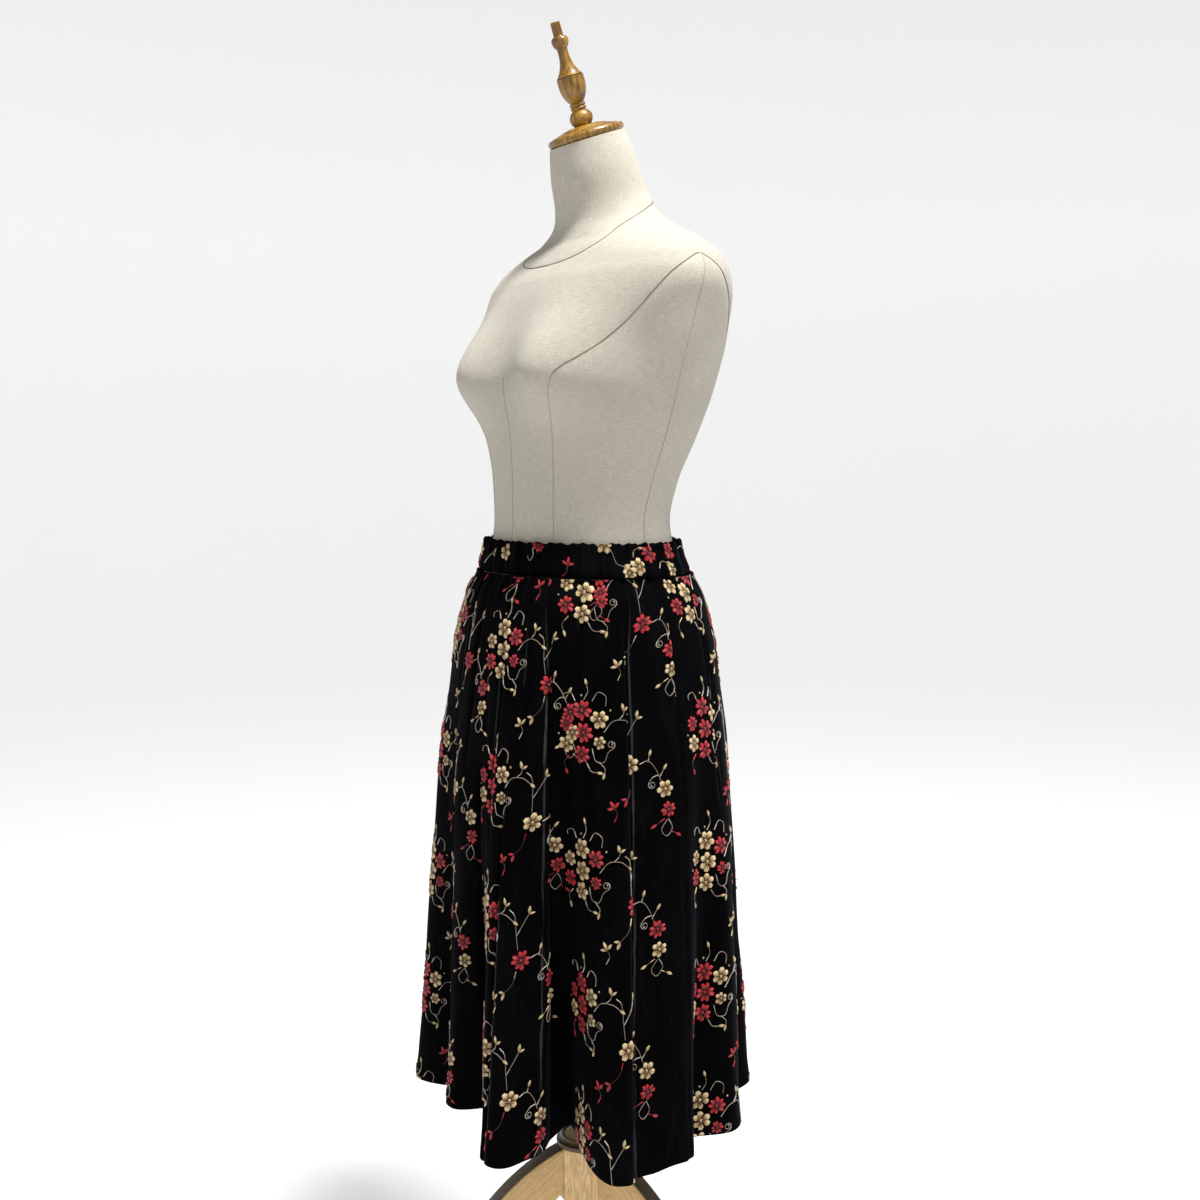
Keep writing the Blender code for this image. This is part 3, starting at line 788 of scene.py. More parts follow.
def skirt_surface(drops, turns):
    """The panels' outer points, with folds, creases, gathers and the dips at the side seams."""
    angle = np.radians(turns)
    across, along = np.cos(angle), np.sin(angle)
    half_width = SKIRT_CURVES["half_width"](drops)
    half_depth = SKIRT_CURVES["half_depth"](drops)
    mean = 1 / np.sqrt((across / half_width) ** 2 + (along / half_depth) ** 2)
    reach, lift = fold_reach(turns, drops)
    radius = mean + reach
    inward, sideways = crease_shift(turns, drops, radius)
    settings = bpy.context.scene.skirt_velvet
    waves = sum(
        share * np.cos(count * angle + uneven * np.sin(3 * angle + count)) for count, uneven, share in GATHERS
    )
    gather = settings.gather_depth * (0.5 - 0.5 * waves) * np.exp(-(drops - PANEL_TOP) / GATHER_FADE)
    sway = SWAY * np.sin(9 * angle + 21 * drops) * np.sin(13 * drops + 2 * angle) * ease(0.05, 0.25, drops)
    seam = SEAM_DIP * np.exp(-((radius * along / SEAM_DIP_BREADTH) ** 2)) * ease(PANEL_TOP, 0.08, drops)
    hem = HEM_ROLL * ease(SKIRT_LENGTH - HEM_HEIGHT, SKIRT_LENGTH, drops)
    radius = radius - inward - gather - seam + sway + hem
    x = radius * across - sideways * along
    y = radius * along + sideways * across
    z = SKIRT_TOP - drops + lift * (drops / SKIRT_LENGTH) ** 3
    return joined(x, y, z)


def form_surface(heights, turns):
    """Points of the form's body for heights above its waist and turns."""
    size = {name: curve(heights) for name, curve in FORM_CURVES.items()}
    angle = np.radians(turns)
    across, along = np.cos(angle), np.sin(angle)
    behind = along > 0
    roundness = np.where(behind, 2 / size["square"], 1.0)
    x = size["half_width"] * np.copysign(np.abs(across) ** roundness, across)
    y = np.where(behind, size["back"], size["front"]) * np.copysign(np.abs(along) ** roundness, along)
    bust_rise = (heights - BUST_HEIGHT) / np.where(heights > BUST_HEIGHT, BUST_ABOVE, BUST_BELOW)
    domes = sum(np.exp(-(((x - side * BUST_APART) / BUST_SPREAD) ** 2)) for side in (-1, 1))
    y = y - BUST_OUT * domes * np.exp(-(bust_rise**2)) * np.clip(-along, 0, 1) ** 0.7
    stub_rise = (heights - STUB_HEIGHT) / STUB_TALL
    x = x + STUB_OUT * np.exp(-((y / STUB_SPREAD) ** 2)) * np.exp(-(stub_rise**2)) * across
    lean = np.radians(size["lean"])
    z = WAIST + heights + y * np.sin(lean)
    return joined(x, size["shift"] + y * np.cos(lean), z)


def casing_surface(drops, turns):
    """The elastic casing's outer points, with uneven puckers that are deepest at its edges."""
    angle = np.radians(turns)
    share = np.clip(drops / CASING_HEIGHT, 0, 1)
    top = SKIRT_TOP + CASING_RISE
    points = form_surface(top - drops - WAIST, turns)
    radius = np.hypot(points[..., 0], points[..., 1])
    broad = 0.5 + 0.5 * np.cos(27 * angle + 1.3 * np.sin(4 * angle) + 0.9 * np.sin(7 * angle + 1))
    fine = 0.5 + 0.5 * np.cos(61 * angle + 1.9 * np.sin(5 * angle + 2) + 2.5 * share)
    edge = np.abs(2 * share - 1) ** 1.5
    belly = 0.0034 * np.clip(1 - (2 * share - 1) ** 2, 0, 1) ** 0.6
    pucker = (0.0022 + 0.0022 * edge) * broad + (0.0008 + 0.0012 * edge) * fine
    stitched = 0.0008 * np.exp(-(((share - 0.90) / 0.035) ** 2))
    out = 0.0040 + belly + pucker * (1 - 0.45 * share**2) - stitched
    points[..., :2] *= (1 + out / radius)[..., None]
    points[..., 2] = top - drops + 0.0014 * (broad - 0.5 + fine - 0.5) * (1 - share) ** 2
    return points


def velvet_finish(settings):
    """Black pile, a little lighter where it is brushed the other way, with a painted sheen along the creases'
    edges.
    """
    tint = (0.62, 0.68, 0.95)
    finish = Finish(
        "black_velvet", specular_ior_level=0.02, sheen_weight=0.02, sheen_roughness=0.3, sheen_tint=tint
    )
    cloth = finish.attribute("cloth")
    brushed = finish.noise(finish.stretch(cloth, (3.0, 1.0, 1.0)), 9.0, 4.0, 0.6, 0.6)
    streaks = finish.noise(finish.stretch(cloth, (9.0, 1.0, 1.0)), 30.0, 2.0)
    pile = finish.noise(cloth, 1500.0, 3.0, 0.7)
    lit = finish.band(brushed * 0.65 + streaks * 0.35, 0.42, 0.72)
    colour = finish.mix(lit, settings.velvet, settings.velvet_lit)
    # A thin light line along each crease's edge, stronger where the crease is deep: painted sheen
    away, painted_sheen, _ = finish.split(finish.attribute("crease"))
    edge = 1 - finish.band((away + (streaks - 0.5) * 0.002).size(), 0.0001, 0.0007)
    colour = finish.mix(edge * painted_sheen * finish.band(brushed, 0.35, 0.6), colour, settings.velvet_crease_sheen)
    rough = 0.92 - lit * 0.14
    relief = finish.bump(pile + streaks * 0.8, 0.0005, 0.5)
    return finish.wear(base_color=colour, roughness=rough, normal=relief)


def thread_finish(name, bright, deep, line, lines=0.0):
    """Satin stitch: fine ridges of thread along a petal, deeper in colour at its root: painted shade at the
    root and a painted highlight towards the tip.
    """
    finish = Finish(name, specular_ior_level=0.4, sheen_weight=0.06, sheen_roughness=0.4)
    along, across, tone = finish.split(finish.attribute("stitch"))
    ridges = (across * 24.0 + finish.noise(finish.attribute("stitch"), 6.0) * 3.0).sine()
    # The darker root is painted shade and the lighter tip a painted highlight; the cream petals' brown spokes
    # are their own lines
    root = 1 - finish.band(along, 0.12, 0.80)
    colour = finish.mix(root, bright, deep)
    spokes = finish.band((across * 9.4).sine(), 0.35, 0.8) * finish.band(0.72 - along, 0.0, 0.3) * lines
    colour = finish.mix(spokes, colour, line)
    # Darker in the grooves between the ridges: painted shade
    colour = finish.mix(0.12 - ridges * 0.12, colour, deep)
    colour = finish.mix(finish.band(across.size(), 0.66, 0.92) * 0.95, colour, line)
    colour = finish.mix(tone, colour, line)
    return finish.wear(
        base_color=colour, roughness=0.42 + ridges * 0.10, normal=finish.bump(ridges, 0.0003, 0.7)
    )


class SKIRT_OT_panels(Operator):
    """Makes the front and back panels: fine gathers, sharp creases and deep soft folds"""

    bl_idname = "skirt.panels"
    bl_label = "Velvet Panels"

    def execute(self, context):
        settings = context.scene.skirt_velvet
        velvet = velvet_finish(settings)
        for side, first in (("front", -180.0), ("back", 0.0)):
            turns = panel_turns(first, first + 180.0, settings.columns)
            shares = np.linspace(0, 1, settings.rows)
            drops = PANEL_TOP + (SKIRT_LENGTH - PANEL_TOP) * (0.75 * shares + 0.25 * shares**2)
            outer = skirt_surface(drops[:, None], turns[None, :])
            outer[..., 1] += math.copysign(SEAM_GAP / 2, first + 90)
            points, quads = cloth_shell(outer, settings.wall, closed=False)
            lengths = along_rows(outer)
            # Distance from each crease's edge, and the strength of the painted sheen there
            away, painted_sheen = crease_sheen_edges(turns[None, :], drops[:, None], np.hypot(outer[..., 0], outer[..., 1]))
            cloth = shell_values(lengths[-1], drops[:, None], 0.0)
            crease = shell_values(away, painted_sheen, 0.0)
            panel = add_piece(
                f"{side}_panel", points, drop_doubled(quads), [velvet], {"cloth": cloth, "crease": crease},
                angle=70,
            )
            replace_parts(panel, f"skirt_{side}")
            panel["hem_length"] = float(lengths[-1, -1])
        return {"FINISHED"}


def panel_turns(first, last, count):
    """Turns of a panel's columns, closer together at its creases."""
    fine = np.linspace(first, last, 6000)
    row = skirt_surface(np.array([[SKIRT_LENGTH]]), fine[None, :])[0]
    weight = np.linalg.norm(np.gradient(row, axis=0), axis=1)
    for turn, drift, *_ in CREASES:
        for centre in (turn, turn + drift):
            off = (fine - centre + 180) % 360 - 180
            weight *= 1 + 1.6 * np.exp(-((off / 2.2) ** 2))
    total = np.concatenate([[0], np.cumsum((weight[1:] + weight[:-1]) / 2)])
    return np.interp(np.linspace(0, total[-1], count), total, fine)


class SKIRT_OT_casing(Operator):
    """Makes the elastic waist casing, puckered all round"""

    bl_idname = "skirt.casing"
    bl_label = "Waist Casing"

    def execute(self, context):
        settings = context.scene.skirt_velvet
        turns = np.linspace(-180, 180, settings.casing_columns, endpoint=False)
        drops = CASING_HEIGHT * np.linspace(0, 1, CASING_ROWS)
        outer = casing_surface(drops[:, None], turns[None, :])
        for row, drawn_in in ((0, CASING_EDGE_IN), (-1, CASING_FOOT_IN)):
            outer[row, :, :2] *= 1 - drawn_in / np.hypot(outer[row, :, 0], outer[row, :, 1])[:, None]
        points, quads = cloth_shell(outer, CASING_WALL, closed=True)
        cloth = shell_values(np.radians(turns) * CASING_GIRTH_RADIUS, drops[:, None], 0.0)
        velvet = bpy.data.objects["front_panel"].data.materials[0]
        casing = add_piece("casing", points, quads, [velvet], {"cloth": cloth}, angle=70)
        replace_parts(casing, "waist_casing")
        return {"FINISHED"}


# ---------------------------------------------------------------- the sewn sprays


def raised_shape(along, across, x, y, height, root):
    """A sewn shape's points, heights, stitch places and quads, from grids over it."""
    stitch = joined(root, across, 0.0).reshape(-1, 3)
    return joined(x, y).reshape(-1, 2), height.reshape(-1), stitch, grid_quads(*along.shape)


def petal_shape(narrow):
    """A raised, notched petal along +X from 0 to 1."""
    rows = (0.0, 0.14, 0.34, 0.56, 0.76, 0.91, 1.0)
    along, across = np.meshgrid(rows, np.linspace(-1, 1, 7), indexing="ij")
    notch = 0.06 * np.exp(-((across / 0.3) ** 2))
    x = along * (1 - (0.30 * across**4 + notch) * along**2)
    y = across * narrow * (0.24 + 0.76 * ease(0.0, 0.62, along)) * (1 - 0.30 * ease(0.7, 1.0, along))
    height = (1 - across**2) ** 0.5 * np.clip(np.sin(np.pi * along), 0, 1) ** 0.4 * (1 - notch * along)
    return raised_shape(along, across, x, y, height, along)


def bud_shape():
    """A raised almond along +X from 0 to 1."""
    along, across = np.meshgrid(np.linspace(0, 1, 6), np.linspace(-1, 1, 4), indexing="ij")
    breadth = np.sin(np.pi * np.clip(along, 0.001, 0.999)) ** 0.8
    height = (1 - across**2) ** 0.5 * np.clip(np.sin(np.pi * along), 0, 1) ** 0.45
    return raised_shape(along, across, along, across * breadth * 0.23, height, along * 0.5 + 0.4)


PETALS = {"red": petal_shape(0.30), "cream": petal_shape(0.42)}
BUD = bud_shape()
THREADS = {"red": 0, "cream": 1, "vine": 2}


class Embroidery:
    """Sewn shapes in flat sizes, each at an anchor on the cloth, and then laid on it together."""

    def __init__(self):
        self.places = []
        self.stitches = []
        self.faces = []
        self.threads = []
        self.count = 0

    def add(self, anchor, points, lift, stitch, quads, thread):
        base = np.broadcast_to(np.array(anchor), (len(points), 2))
        self.places.append(np.column_stack([base, points, lift]))
        self.stitches.append(stitch)
        self.faces.append(quads + self.count)
        self.threads.append(np.full(len(quads), THREADS[thread]))
        self.count += len(points)

    def shape(self, anchor, template, place, length, turn, height, thread, tone):
        """A petal or bud of a length, turned, with its root at a place."""
        points, rise, stitch, quads = template
        cos, sin = math.cos(turn), math.sin(turn)
        turned = points @ np.array([[cos, sin], [-sin, cos]]) * length + place
        lift = np.where(rise > 0, 0.35 * MM + rise * height, -SUNK)
        self.add(anchor, turned, lift, stitch + [0, 0, tone], quads, thread)

    def knot(self, anchor, place, radius, height, thread, tone=0.0):
        """A small round knot."""
        rings, sides = 4, 8
        turns = ring_turns(sides)
        out = np.array([1.0, 0.8, 0.45, 0.02])[:, None] * radius
        points = joined(out * np.cos(turns), out * np.sin(turns)).reshape(-1, 2) + place
        lift = np.repeat(np.array([-0.0001, 0.6, 0.95, 1.0]) * height, sides)
        stitch = joined(0.8, np.tile(np.cos(turns), rings), tone)
        self.add(anchor, points, lift, stitch, grid_quads(rings, sides, closed=True), thread)

    def flower(self, anchor, place, size, spin, thread, tone):
        petals = PETAL_COUNTS[thread]
        radius = FLOWER_FILL * size
        for i in range(petals):
            turn = spin + 2 * math.pi * i / petals + 0.09 * math.sin(3 * i + spin)
            root = place + 0.13 * radius * heading(turn)
            length = radius * (0.90 + 0.06 * math.sin(5 * turn + spin))
            self.shape(anchor, PETALS[thread], root, length, turn, PETAL_RISE, thread, tone)
        self.knot(anchor, place, radius * 0.20, FLOWER_KNOT_RISE, thread, -0.1)

    def stem(self, anchor, points, breadth, thread):
        """A line of stem stitch through points, and the direction in which it ends."""
        line = smooth_line(np.array(points, float) * MM, STEM_STEP)
        ahead = unit(np.gradient(line, axis=0))
        beside = np.stack([-ahead[:, 1], ahead[:, 0]], axis=-1)
        offsets = np.array([-1.0, -0.45, 0.45, 1.0])
        rows = line[:, None, :] + beside[:, None, :] * (offsets * breadth / 2)[None, :, None]
        lift = np.tile([-SUNK, STEM_RISE, STEM_RISE, -SUNK], len(line))
        length = np.linspace(0, len(line) * 0.3, len(line))
        stitch = joined(0.9, length[:, None] + offsets * 0.1, 0.0)
        self.add(anchor, rows.reshape(-1, 2), lift, stitch.reshape(-1, 3), grid_quads(len(line), 4), thread)
        return line[-1], math.atan2(ahead[-1, 1], ahead[-1, 0])

    def curl(self, anchor, place, turn, thread):
        """A spiral tendril that carries on from a stem's end."""
        radius = 4.4
        sweep = np.linspace(0, 2.6 * math.pi, 12)
        shrink = radius * (1 - 0.24 * sweep / math.pi)
        centre = place / MM + radius * heading(turn + math.pi / 2)
        angles = turn - math.pi / 2 + sweep
        points = centre + shrink[:, None] * joined(np.cos(angles), np.sin(angles))
        self.stem(anchor, points, TENDRIL_BREADTH, thread)
        self.knot(anchor, points[-1] * MM, 1.0 * MM, KNOT_RISE, thread)

    def end_stem(self, anchor, place, turn, end, thread, bud):
        """What a stem ends in: nothing, a tendril, a bud, a pair of buds or three leaves."""
        fans = {"bud": ((0.0, 0.0078),), "pair": ((0.45, 0.0088), (-0.75, 0.0068))}
        fans["leaves"] = ((0.0, 0.0090), (1.15, 0.0078), (-1.15, 0.0078))
        if end == "curl":
            self.curl(anchor, place, turn, thread)
        for lean, length in fans.get(end, ()):
            self.shape(anchor, BUD, place, length, turn + lean, BUD_RISE, bud, 0.05 if lean == 0 else 0.12)

    def random_flower(self, anchor, place, size, thread, rng):
        """A flower with its turn and its tone drawn by chance, in that order."""
        spin = rng.random() * 6.3
        self.flower(anchor, place, size, spin, thread, MOST_TONE * rng.random())

    def spray(self, anchor, own, other, rng):
        """A cluster with its singles, stems, tendrils and buds."""
        for across, up, size, swapped in FLOWERS:
            self.random_flower(anchor, np.array([across, up]) * MM, size * MM, other if swapped else own, rng)
        for points, end, pale in STEMS:
            thread = "vine" if pale else own
            place, turn = self.stem(anchor, points, STEM_BREADTH, thread)
            self.end_stem(anchor, place, turn, end, thread, "cream" if pale else own)
        for across, up in KNOTS:
            self.knot(anchor, np.array([across, up]) * MM, KNOT_RADIUS, KNOT_RISE, "cream")

    def lay_on(self, name, surface, materials):
        """The sewn work as one piece on a surface, without what its edges cut off."""
        places = np.concatenate(self.places)
        faces = np.concatenate(self.faces)
        threads = np.concatenate(self.threads)
        turn, drop, across, up, lift = places.T
        inside = (drop - up > surface.drops[0]) & (drop - up < surface.drops[-1])
        points = surface.lay(turn, drop, across, up, lift)
        corners = points[faces]
        area = np.linalg.norm(np.cross(corners[:, 2] - corners[:, 0], corners[:, 3] - corners[:, 1]), axis=1)
        kept = (area > SMALLEST_FACE) & inside[faces].any(axis=1)
        faces, threads = faces[kept], threads[kept]
        used, renumbered = np.unique(faces, return_inverse=True)
        stitch = {"stitch": np.concatenate(self.stitches)[used]}
        return add_piece(name, points[used], renumbered.reshape(-1, 4), materials, stitch, threads)


def smooth_line(points, step):
    """Points about a step apart on a smooth line through the given ones."""
    padded = np.concatenate([2 * points[:1] - points[1:2], points, 2 * points[-1:] - points[-2:-1]])
    made = []
    for p0, p1, p2, p3 in zip(padded, padded[1:], padded[2:], padded[3:]):
        count = max(1, int(round(np.linalg.norm(p2 - p1) / step)))
        for t in np.arange(count)[:, None] / count:
            bend = 2 * p1 + (p2 - p0) * t + (2 * p0 - 5 * p1 + 4 * p2 - p3) * t**2
            made.append((bend + (3 * p1 - p0 - 3 * p2 + p3) * t**3) / 2)
    return np.array(made + [points[-1]])


class SKIRT_OT_sprays(Operator):
    """Sews red and cream flowers, buds and vines on the panels and the casing"""

    bl_idname = "skirt.sprays"
    bl_label = "Sewn Sprays"

    def execute(self, context):
        settings = context.scene.skirt_velvet
        red, cream, vine = settings.red, settings.cream, settings.vine
        # Each thread's tip colour, then the darker colour of its painted shade at the roots and in the
        # grooves, then its line colour
        threads = [
            thread_finish("red_thread", red, (0.10, 0.002, 0.004), (0.018, 0.0006, 0.001)),
            thread_finish("cream_thread", cream, (0.26, 0.13, 0.04), (0.045, 0.018, 0.006), lines=1.0),
            thread_finish("vine_thread", vine, (0.30, 0.25, 0.20), (0.24, 0.18, 0.14)),
        ]
        for side, span in (("front", (-179.9, -0.35)), ("back", (0.35, 179.9))):
            drops = np.linspace(PANEL_TOP + MM, SKIRT_LENGTH - MM, 240)
            surface = Surface(skirt_surface, drops, np.linspace(*span, 2600))
            rng = np.random.default_rng(SEED)
            work = Embroidery()
            for turn, first in SPRAY_COLUMNS:
                for row in range(-1, 6):
                    drop = first + SPRAY_PITCH * row
                    own, other = ("red", "cream") if row % 2 else ("cream", "red")
                    near = drops[0] - SPRAY_REACH < drop < drops[-1] + SPRAY_REACH
                    if near and span[0] < turn < span[1]:
                        work.spray((turn, drop), own, other, rng)
            piece = work.lay_on(f"{side}_sprays", surface, threads)
        self.casing_sprays(threads)
        return {"FINISHED"}

    def casing_sprays(self, threads):
        """The parts of sprays that lie on the casing."""
        drops = np.linspace(MM, CASING_HEIGHT - MM, 24)
        surface = Surface(casing_surface, drops, np.linspace(-260, 260, 5200))
        rng = np.random.default_rng(SEED)
        work = Embroidery()
        for turn, drop, size, thread in CASING_FLOWERS:
            work.random_flower((turn, drop * MM), np.zeros(2), size * MM, thread, rng)
        for turn, drop, points, end, thread in CASING_STEMS:
            anchor = (turn, drop * MM)
            place, towards = work.stem(anchor, points, STEM_BREADTH, thread)
            work.end_stem(anchor, place, towards, end, thread, "cream" if thread == "vine" else thread)
        piece = work.lay_on("casing_sprays", surface, threads)


# ---------------------------------------------------------------- the dress form


def seam_lines():
    """The form's seams as rows of (height, turn), each with how plainly its thread shows."""
    lines = [(CENTRE_FRONT, "faint"), (CENTRE_BACK, "faint")]
    plain = (NECKLINE, PRINCESS_UPPER, PRINCESS_BACK)
    for line in (NECKLINE, PRINCESS_LOWER, PRINCESS_UPPER, PRINCESS_BACK, SIDE_SEAM):
        kind = "plain" if line in plain else "faint"
        lines += [(line, kind), (mirrored(line), kind)]
    return [(np.array(line, float), kind) for line, kind in lines]


def mirrored(line):
    """The same seam on the form's other side."""
    return [(height, 180 - turn) for height, turn in line]


def linen_finish(settings):
    """Plain-woven natural linen, with slubs along both threads."""
    finish = Finish("natural_linen", specular_ior_level=0.25, sheen_weight=0.12, sheen_roughness=0.6)
    cloth = finish.attribute("cloth")
    across, up, _ = finish.split(cloth)
    pitch = 2 * math.pi / settings.thread_pitch
    weave = (across * pitch).sine() * (up * pitch).sine()
    slub_along = finish.noise(finish.stretch(cloth, (1.0, 14.0, 1.0)), 90.0, 3.0, 0.6)
    slub_up = finish.noise(finish.stretch(cloth, (14.0, 1.0, 1.0)), 90.0, 3.0, 0.6)
    cloud = finish.noise(cloth, 12.0, 3.0)
    flecks = finish.band(finish.noise(finish.stretch(cloth, (1.0, 3.0, 1.0)), 420.0, 1.0), 0.68, 0.78)
    linen = Vector(settings.linen)
    thread = slub_along * 0.5 + slub_up * 0.5
    colour = finish.mix(finish.band(thread, 0.36, 0.64), linen * 0.78, linen * 1.07)
    colour = finish.mix(finish.band(cloud, 0.35, 0.7) * 0.25, colour, linen * 0.88)
    colour = finish.mix(flecks * 0.35, colour, (0.30, 0.23, 0.14))
    relief = finish.bump(weave * 0.4 + thread * 3.0, 0.0004, 0.7)
    return finish.wear(base_color=colour, roughness=0.84 + thread * 0.12, normal=relief)


class SKIRT_OT_form_body(Operator):
    """Makes the linen-covered body with its seams"""

    bl_idname = "skirt.form_body"
    bl_label = "Linen Body"

    def execute(self, context):
        settings = context.scene.skirt_form
        heights = column(FORM_SECTIONS, FORM_COLUMNS, "height")
        places = np.linspace(0, len(heights) - 1, settings.rings)
        levels = np.interp(places, np.arange(len(heights)), heights)[::-1]
        turns = np.linspace(-180, 180, settings.points, endpoint=False)
        points = form_surface(levels[:, None], turns[None, :])
        normals = grid_normals(points, closed=True)
        routes = [self.route(line) for line, _ in seam_lines()]
        tree = KDTree(sum(len(route) for route in routes))
        for index, spot in enumerate(np.concatenate(routes)):
            tree.insert(spot, index)
        tree.balance()
        away = np.array([tree.find(spot)[2] for spot in points.reshape(-1, 3)]).reshape(points.shape[:2])
        points -= normals * (SEAM_SINK * np.exp(-((away / SEAM_SINK_BREADTH) ** 2)))[..., None]
        length = along_rows(points)
        cloth = joined(length, levels[:, None], 0.0)
        rows, columns = points.shape[:2]
        faces = grid_quads(rows, columns, closed=True)[:, ::-1].tolist()
        faces += [list(range(columns)), list(range(rows * columns - 1, (rows - 1) * columns - 1, -1))]
        linen = linen_finish(settings)
        cloth = {"cloth": cloth.reshape(-1, 3)}
        body = add_piece("linen_body", points.reshape(-1, 3), faces, [linen], cloth, angle=50)
        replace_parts(body, "form_body")
        self.seams(settings)
        return {"FINISHED"}

    def route(self, line):
        """A seam's line as points on the body."""
        fine = smooth_line(line * [1.0, 0.002], 0.003) / [1.0, 0.002]
        return form_surface(fine[:, 0], fine[:, 1])

    def seams(self, settings):
        """Fine sewn lines, half sunk in the linen."""
        finishes = [
            self.thread("seam_thread", (0.10, 0.08, 0.055), (0.24, 0.20, 0.145)),
            self.thread("faint_thread", (0.30, 0.265, 0.205), (0.50, 0.46, 0.37)),
        ]
        points, faces, kinds = [], [], []
        sides = 6
        for line, kind in seam_lines():
            route = self.route(line)
            ahead = unit(np.gradient(route, axis=0))
            out = unit(np.cross(ahead, np.cross(route - [0, 0.01, WAIST + 0.1], ahead)))
            beside = np.cross(ahead, out)
            base = sum(len(part) for part in points)
            turns = ring_turns(sides)[None, :, None]
            ring = out[:, None, :] * np.cos(turns) + beside[:, None, :] * np.sin(turns)
            tube = route[:, None, :] - out[:, None, :] * THREAD_SUNK + ring * settings.seam_radius
            points.append(tube.reshape(-1, 3))
            quads = grid_quads(len(route), sides, closed=True, first=base).tolist()
            faces += quads
            kinds += [0 if kind == "plain" else 1] * len(quads)
        points = np.concatenate(points)
        add_piece("form_seams", points, faces, finishes, {"cloth": points}, kinds)

    def thread(self, name, dark, light):
        """Twisted sewing thread."""
        finish = Finish(name, roughness=0.85, specular_ior_level=0.2)
        stitched = finish.noise(finish.attribute("cloth"), 700.0, 2.0)
        colour = finish.mix(stitched, dark, light)
        return finish.wear(base_color=colour, normal=finish.bump(stitched, 0.0003, 0.6))


# ---------------------------------------------------------------- turned and sawn wood


def bow_line(start, rows):
    """A profile from a start point through rows of (radius, height, bow, steps)."""
    points = [np.array(start)]
    for radius, height, bow, steps in rows:
        first, last = points[-1], np.array([radius, height])
        along = last - first
        beside = unit(np.array([along[1], -along[0]]))
        for i in range(1, steps + 1):
            t = i / steps
            points.append(first + along * t + beside * bow * 4 * t * (1 - t))
    return np.array(points)


def turned_rings(radius, height, sides):
    """Points of rings about the vertical axis, ring after ring."""
    turns = ring_turns(sides)
    return joined(radius * np.cos(turns), radius * np.sin(turns), height).reshape(-1, 3)


def turned_piece(name, profile, finish, node, place=Matrix()):
    """A piece turned about its axis from a profile, standing where a matrix puts it."""
    faces = grid_quads(len(profile), TURNED_SIDES, closed=True)
    flat = turned_rings(profile[:, :1], profile[:, 1:], TURNED_SIDES)
    _, kept, merged = np.unique(np.round(flat, 7), axis=0, return_index=True, return_inverse=True)
    faces = drop_doubled(merged.reshape(-1)[faces])
    points = flat[kept]
    turned = points @ np.array(place.to_3x3()).T + np.array(place.to_translation())
    piece = add_piece(name, turned, faces, [finish], {"grain": points}, angle=32)
    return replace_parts(piece, node)


def neck_place(above):
    """Stands a piece on the neck's top, square to the neck's lean."""
    height, _, _, _, shift, lean, _ = FORM_SECTIONS[-1]
    tilt = Matrix.Rotation(math.radians(lean), 4, "X")
    return Matrix.Translation((0, shift, WAIST + height)) @ tilt @ Matrix.Translation((0, 0, above))


def honey_finish(settings):
    """Honey-coloured wood with its grain along the axis, under a glossy varnish."""
    finish = Finish("honey_varnish", coat_weight=0.55, coat_roughness=0.08, specular_ior_level=0.3)
    grain = finish.attribute("grain")
    rings = finish.noise(finish.stretch(grain, (1.0, 1.0, 0.12)), 260.0, 4.0, 0.6, 0.8)
    broad = finish.noise(finish.stretch(grain, (1.0, 1.0, 0.25)), 60.0, 2.0)
    pores = finish.noise(finish.stretch(grain, (1.0, 1.0, 0.05)), 1400.0, 2.0)
    colour = finish.mix(finish.band(rings * 0.6 + broad * 0.4, 0.38, 0.66), settings.amber, settings.honey)
    colour = finish.mix(finish.band(pores, 0.60, 0.75) * 0.5, colour, Vector(settings.amber) * 0.6)
    relief = finish.bump(pores, 0.0002, 0.15)
    return finish.wear(base_color=colour, roughness=0.30 + rings * 0.15, normal=relief)


def oak_finish(name, light, dark, gloss=0.0, factors=(1.0, 22.0, 22.0), carried=True):
    """Oak with its grain along the least stretched axis of the mesh's carried vector, or of its own place."""
    finish = Finish(name, coat_weight=gloss, coat_roughness=0.18)
    grain = finish.attribute("grain") if carried else finish.place()
    long = finish.stretch(grain, factors)
    figure = finish.noise(long, 7.0, 3.0, 0.55, 1.6)
    lines = (figure * 70.0).sine()
    fine = finish.noise(finish.stretch(long, (3.0, 5.0, 5.0)), 16.0, 3.0, 0.7)
    pores = finish.band(finish.noise(finish.stretch(long, (8.0, 10.0, 10.0)), 9.0, 1.0), 0.62, 0.72)
    share = finish.band(lines * 0.18 + fine * 0.7 + figure * 0.3, 0.30, 0.75)
    colour = finish.mix(share, dark, light)
    colour = finish.mix(pores * 0.45, colour, Vector(dark) * 0.55)
    return finish.wear(
        base_color=colour, roughness=0.55 - share * 0.14, normal=finish.bump(fine - pores * 0.8, 0.0003, 0.4)
    )


class SKIRT_OT_neck_wood(Operator):
    """Turns the neck cap and the finial"""

    bl_idname = "skirt.neck_wood"
    bl_label = "Neck Cap and Finial"

    def execute(self, context):
        honey = honey_finish(context.scene.skirt_wood)
        for name, node, rows, above in (
            ("wood_cap", "neck_cap", CAP_ROWS, GAP),
            ("wood_finial", "finial", FINIAL_ROWS, CAP_HEIGHT + 2 * GAP),
        ):
            turned_piece(name, bow_line((0.0, 0.0), rows), honey, node, neck_place(above))
        return {"FINISHED"}


def bezier(points, shares):
    """Points on a cubic curve."""
    t = shares[:, None]
    a, b, c, d = (np.array(point) for point in points)
    return (1 - t) ** 3 * a + 3 * t * (1 - t) ** 2 * b + 3 * t * t * (1 - t) * c + t**3 * d


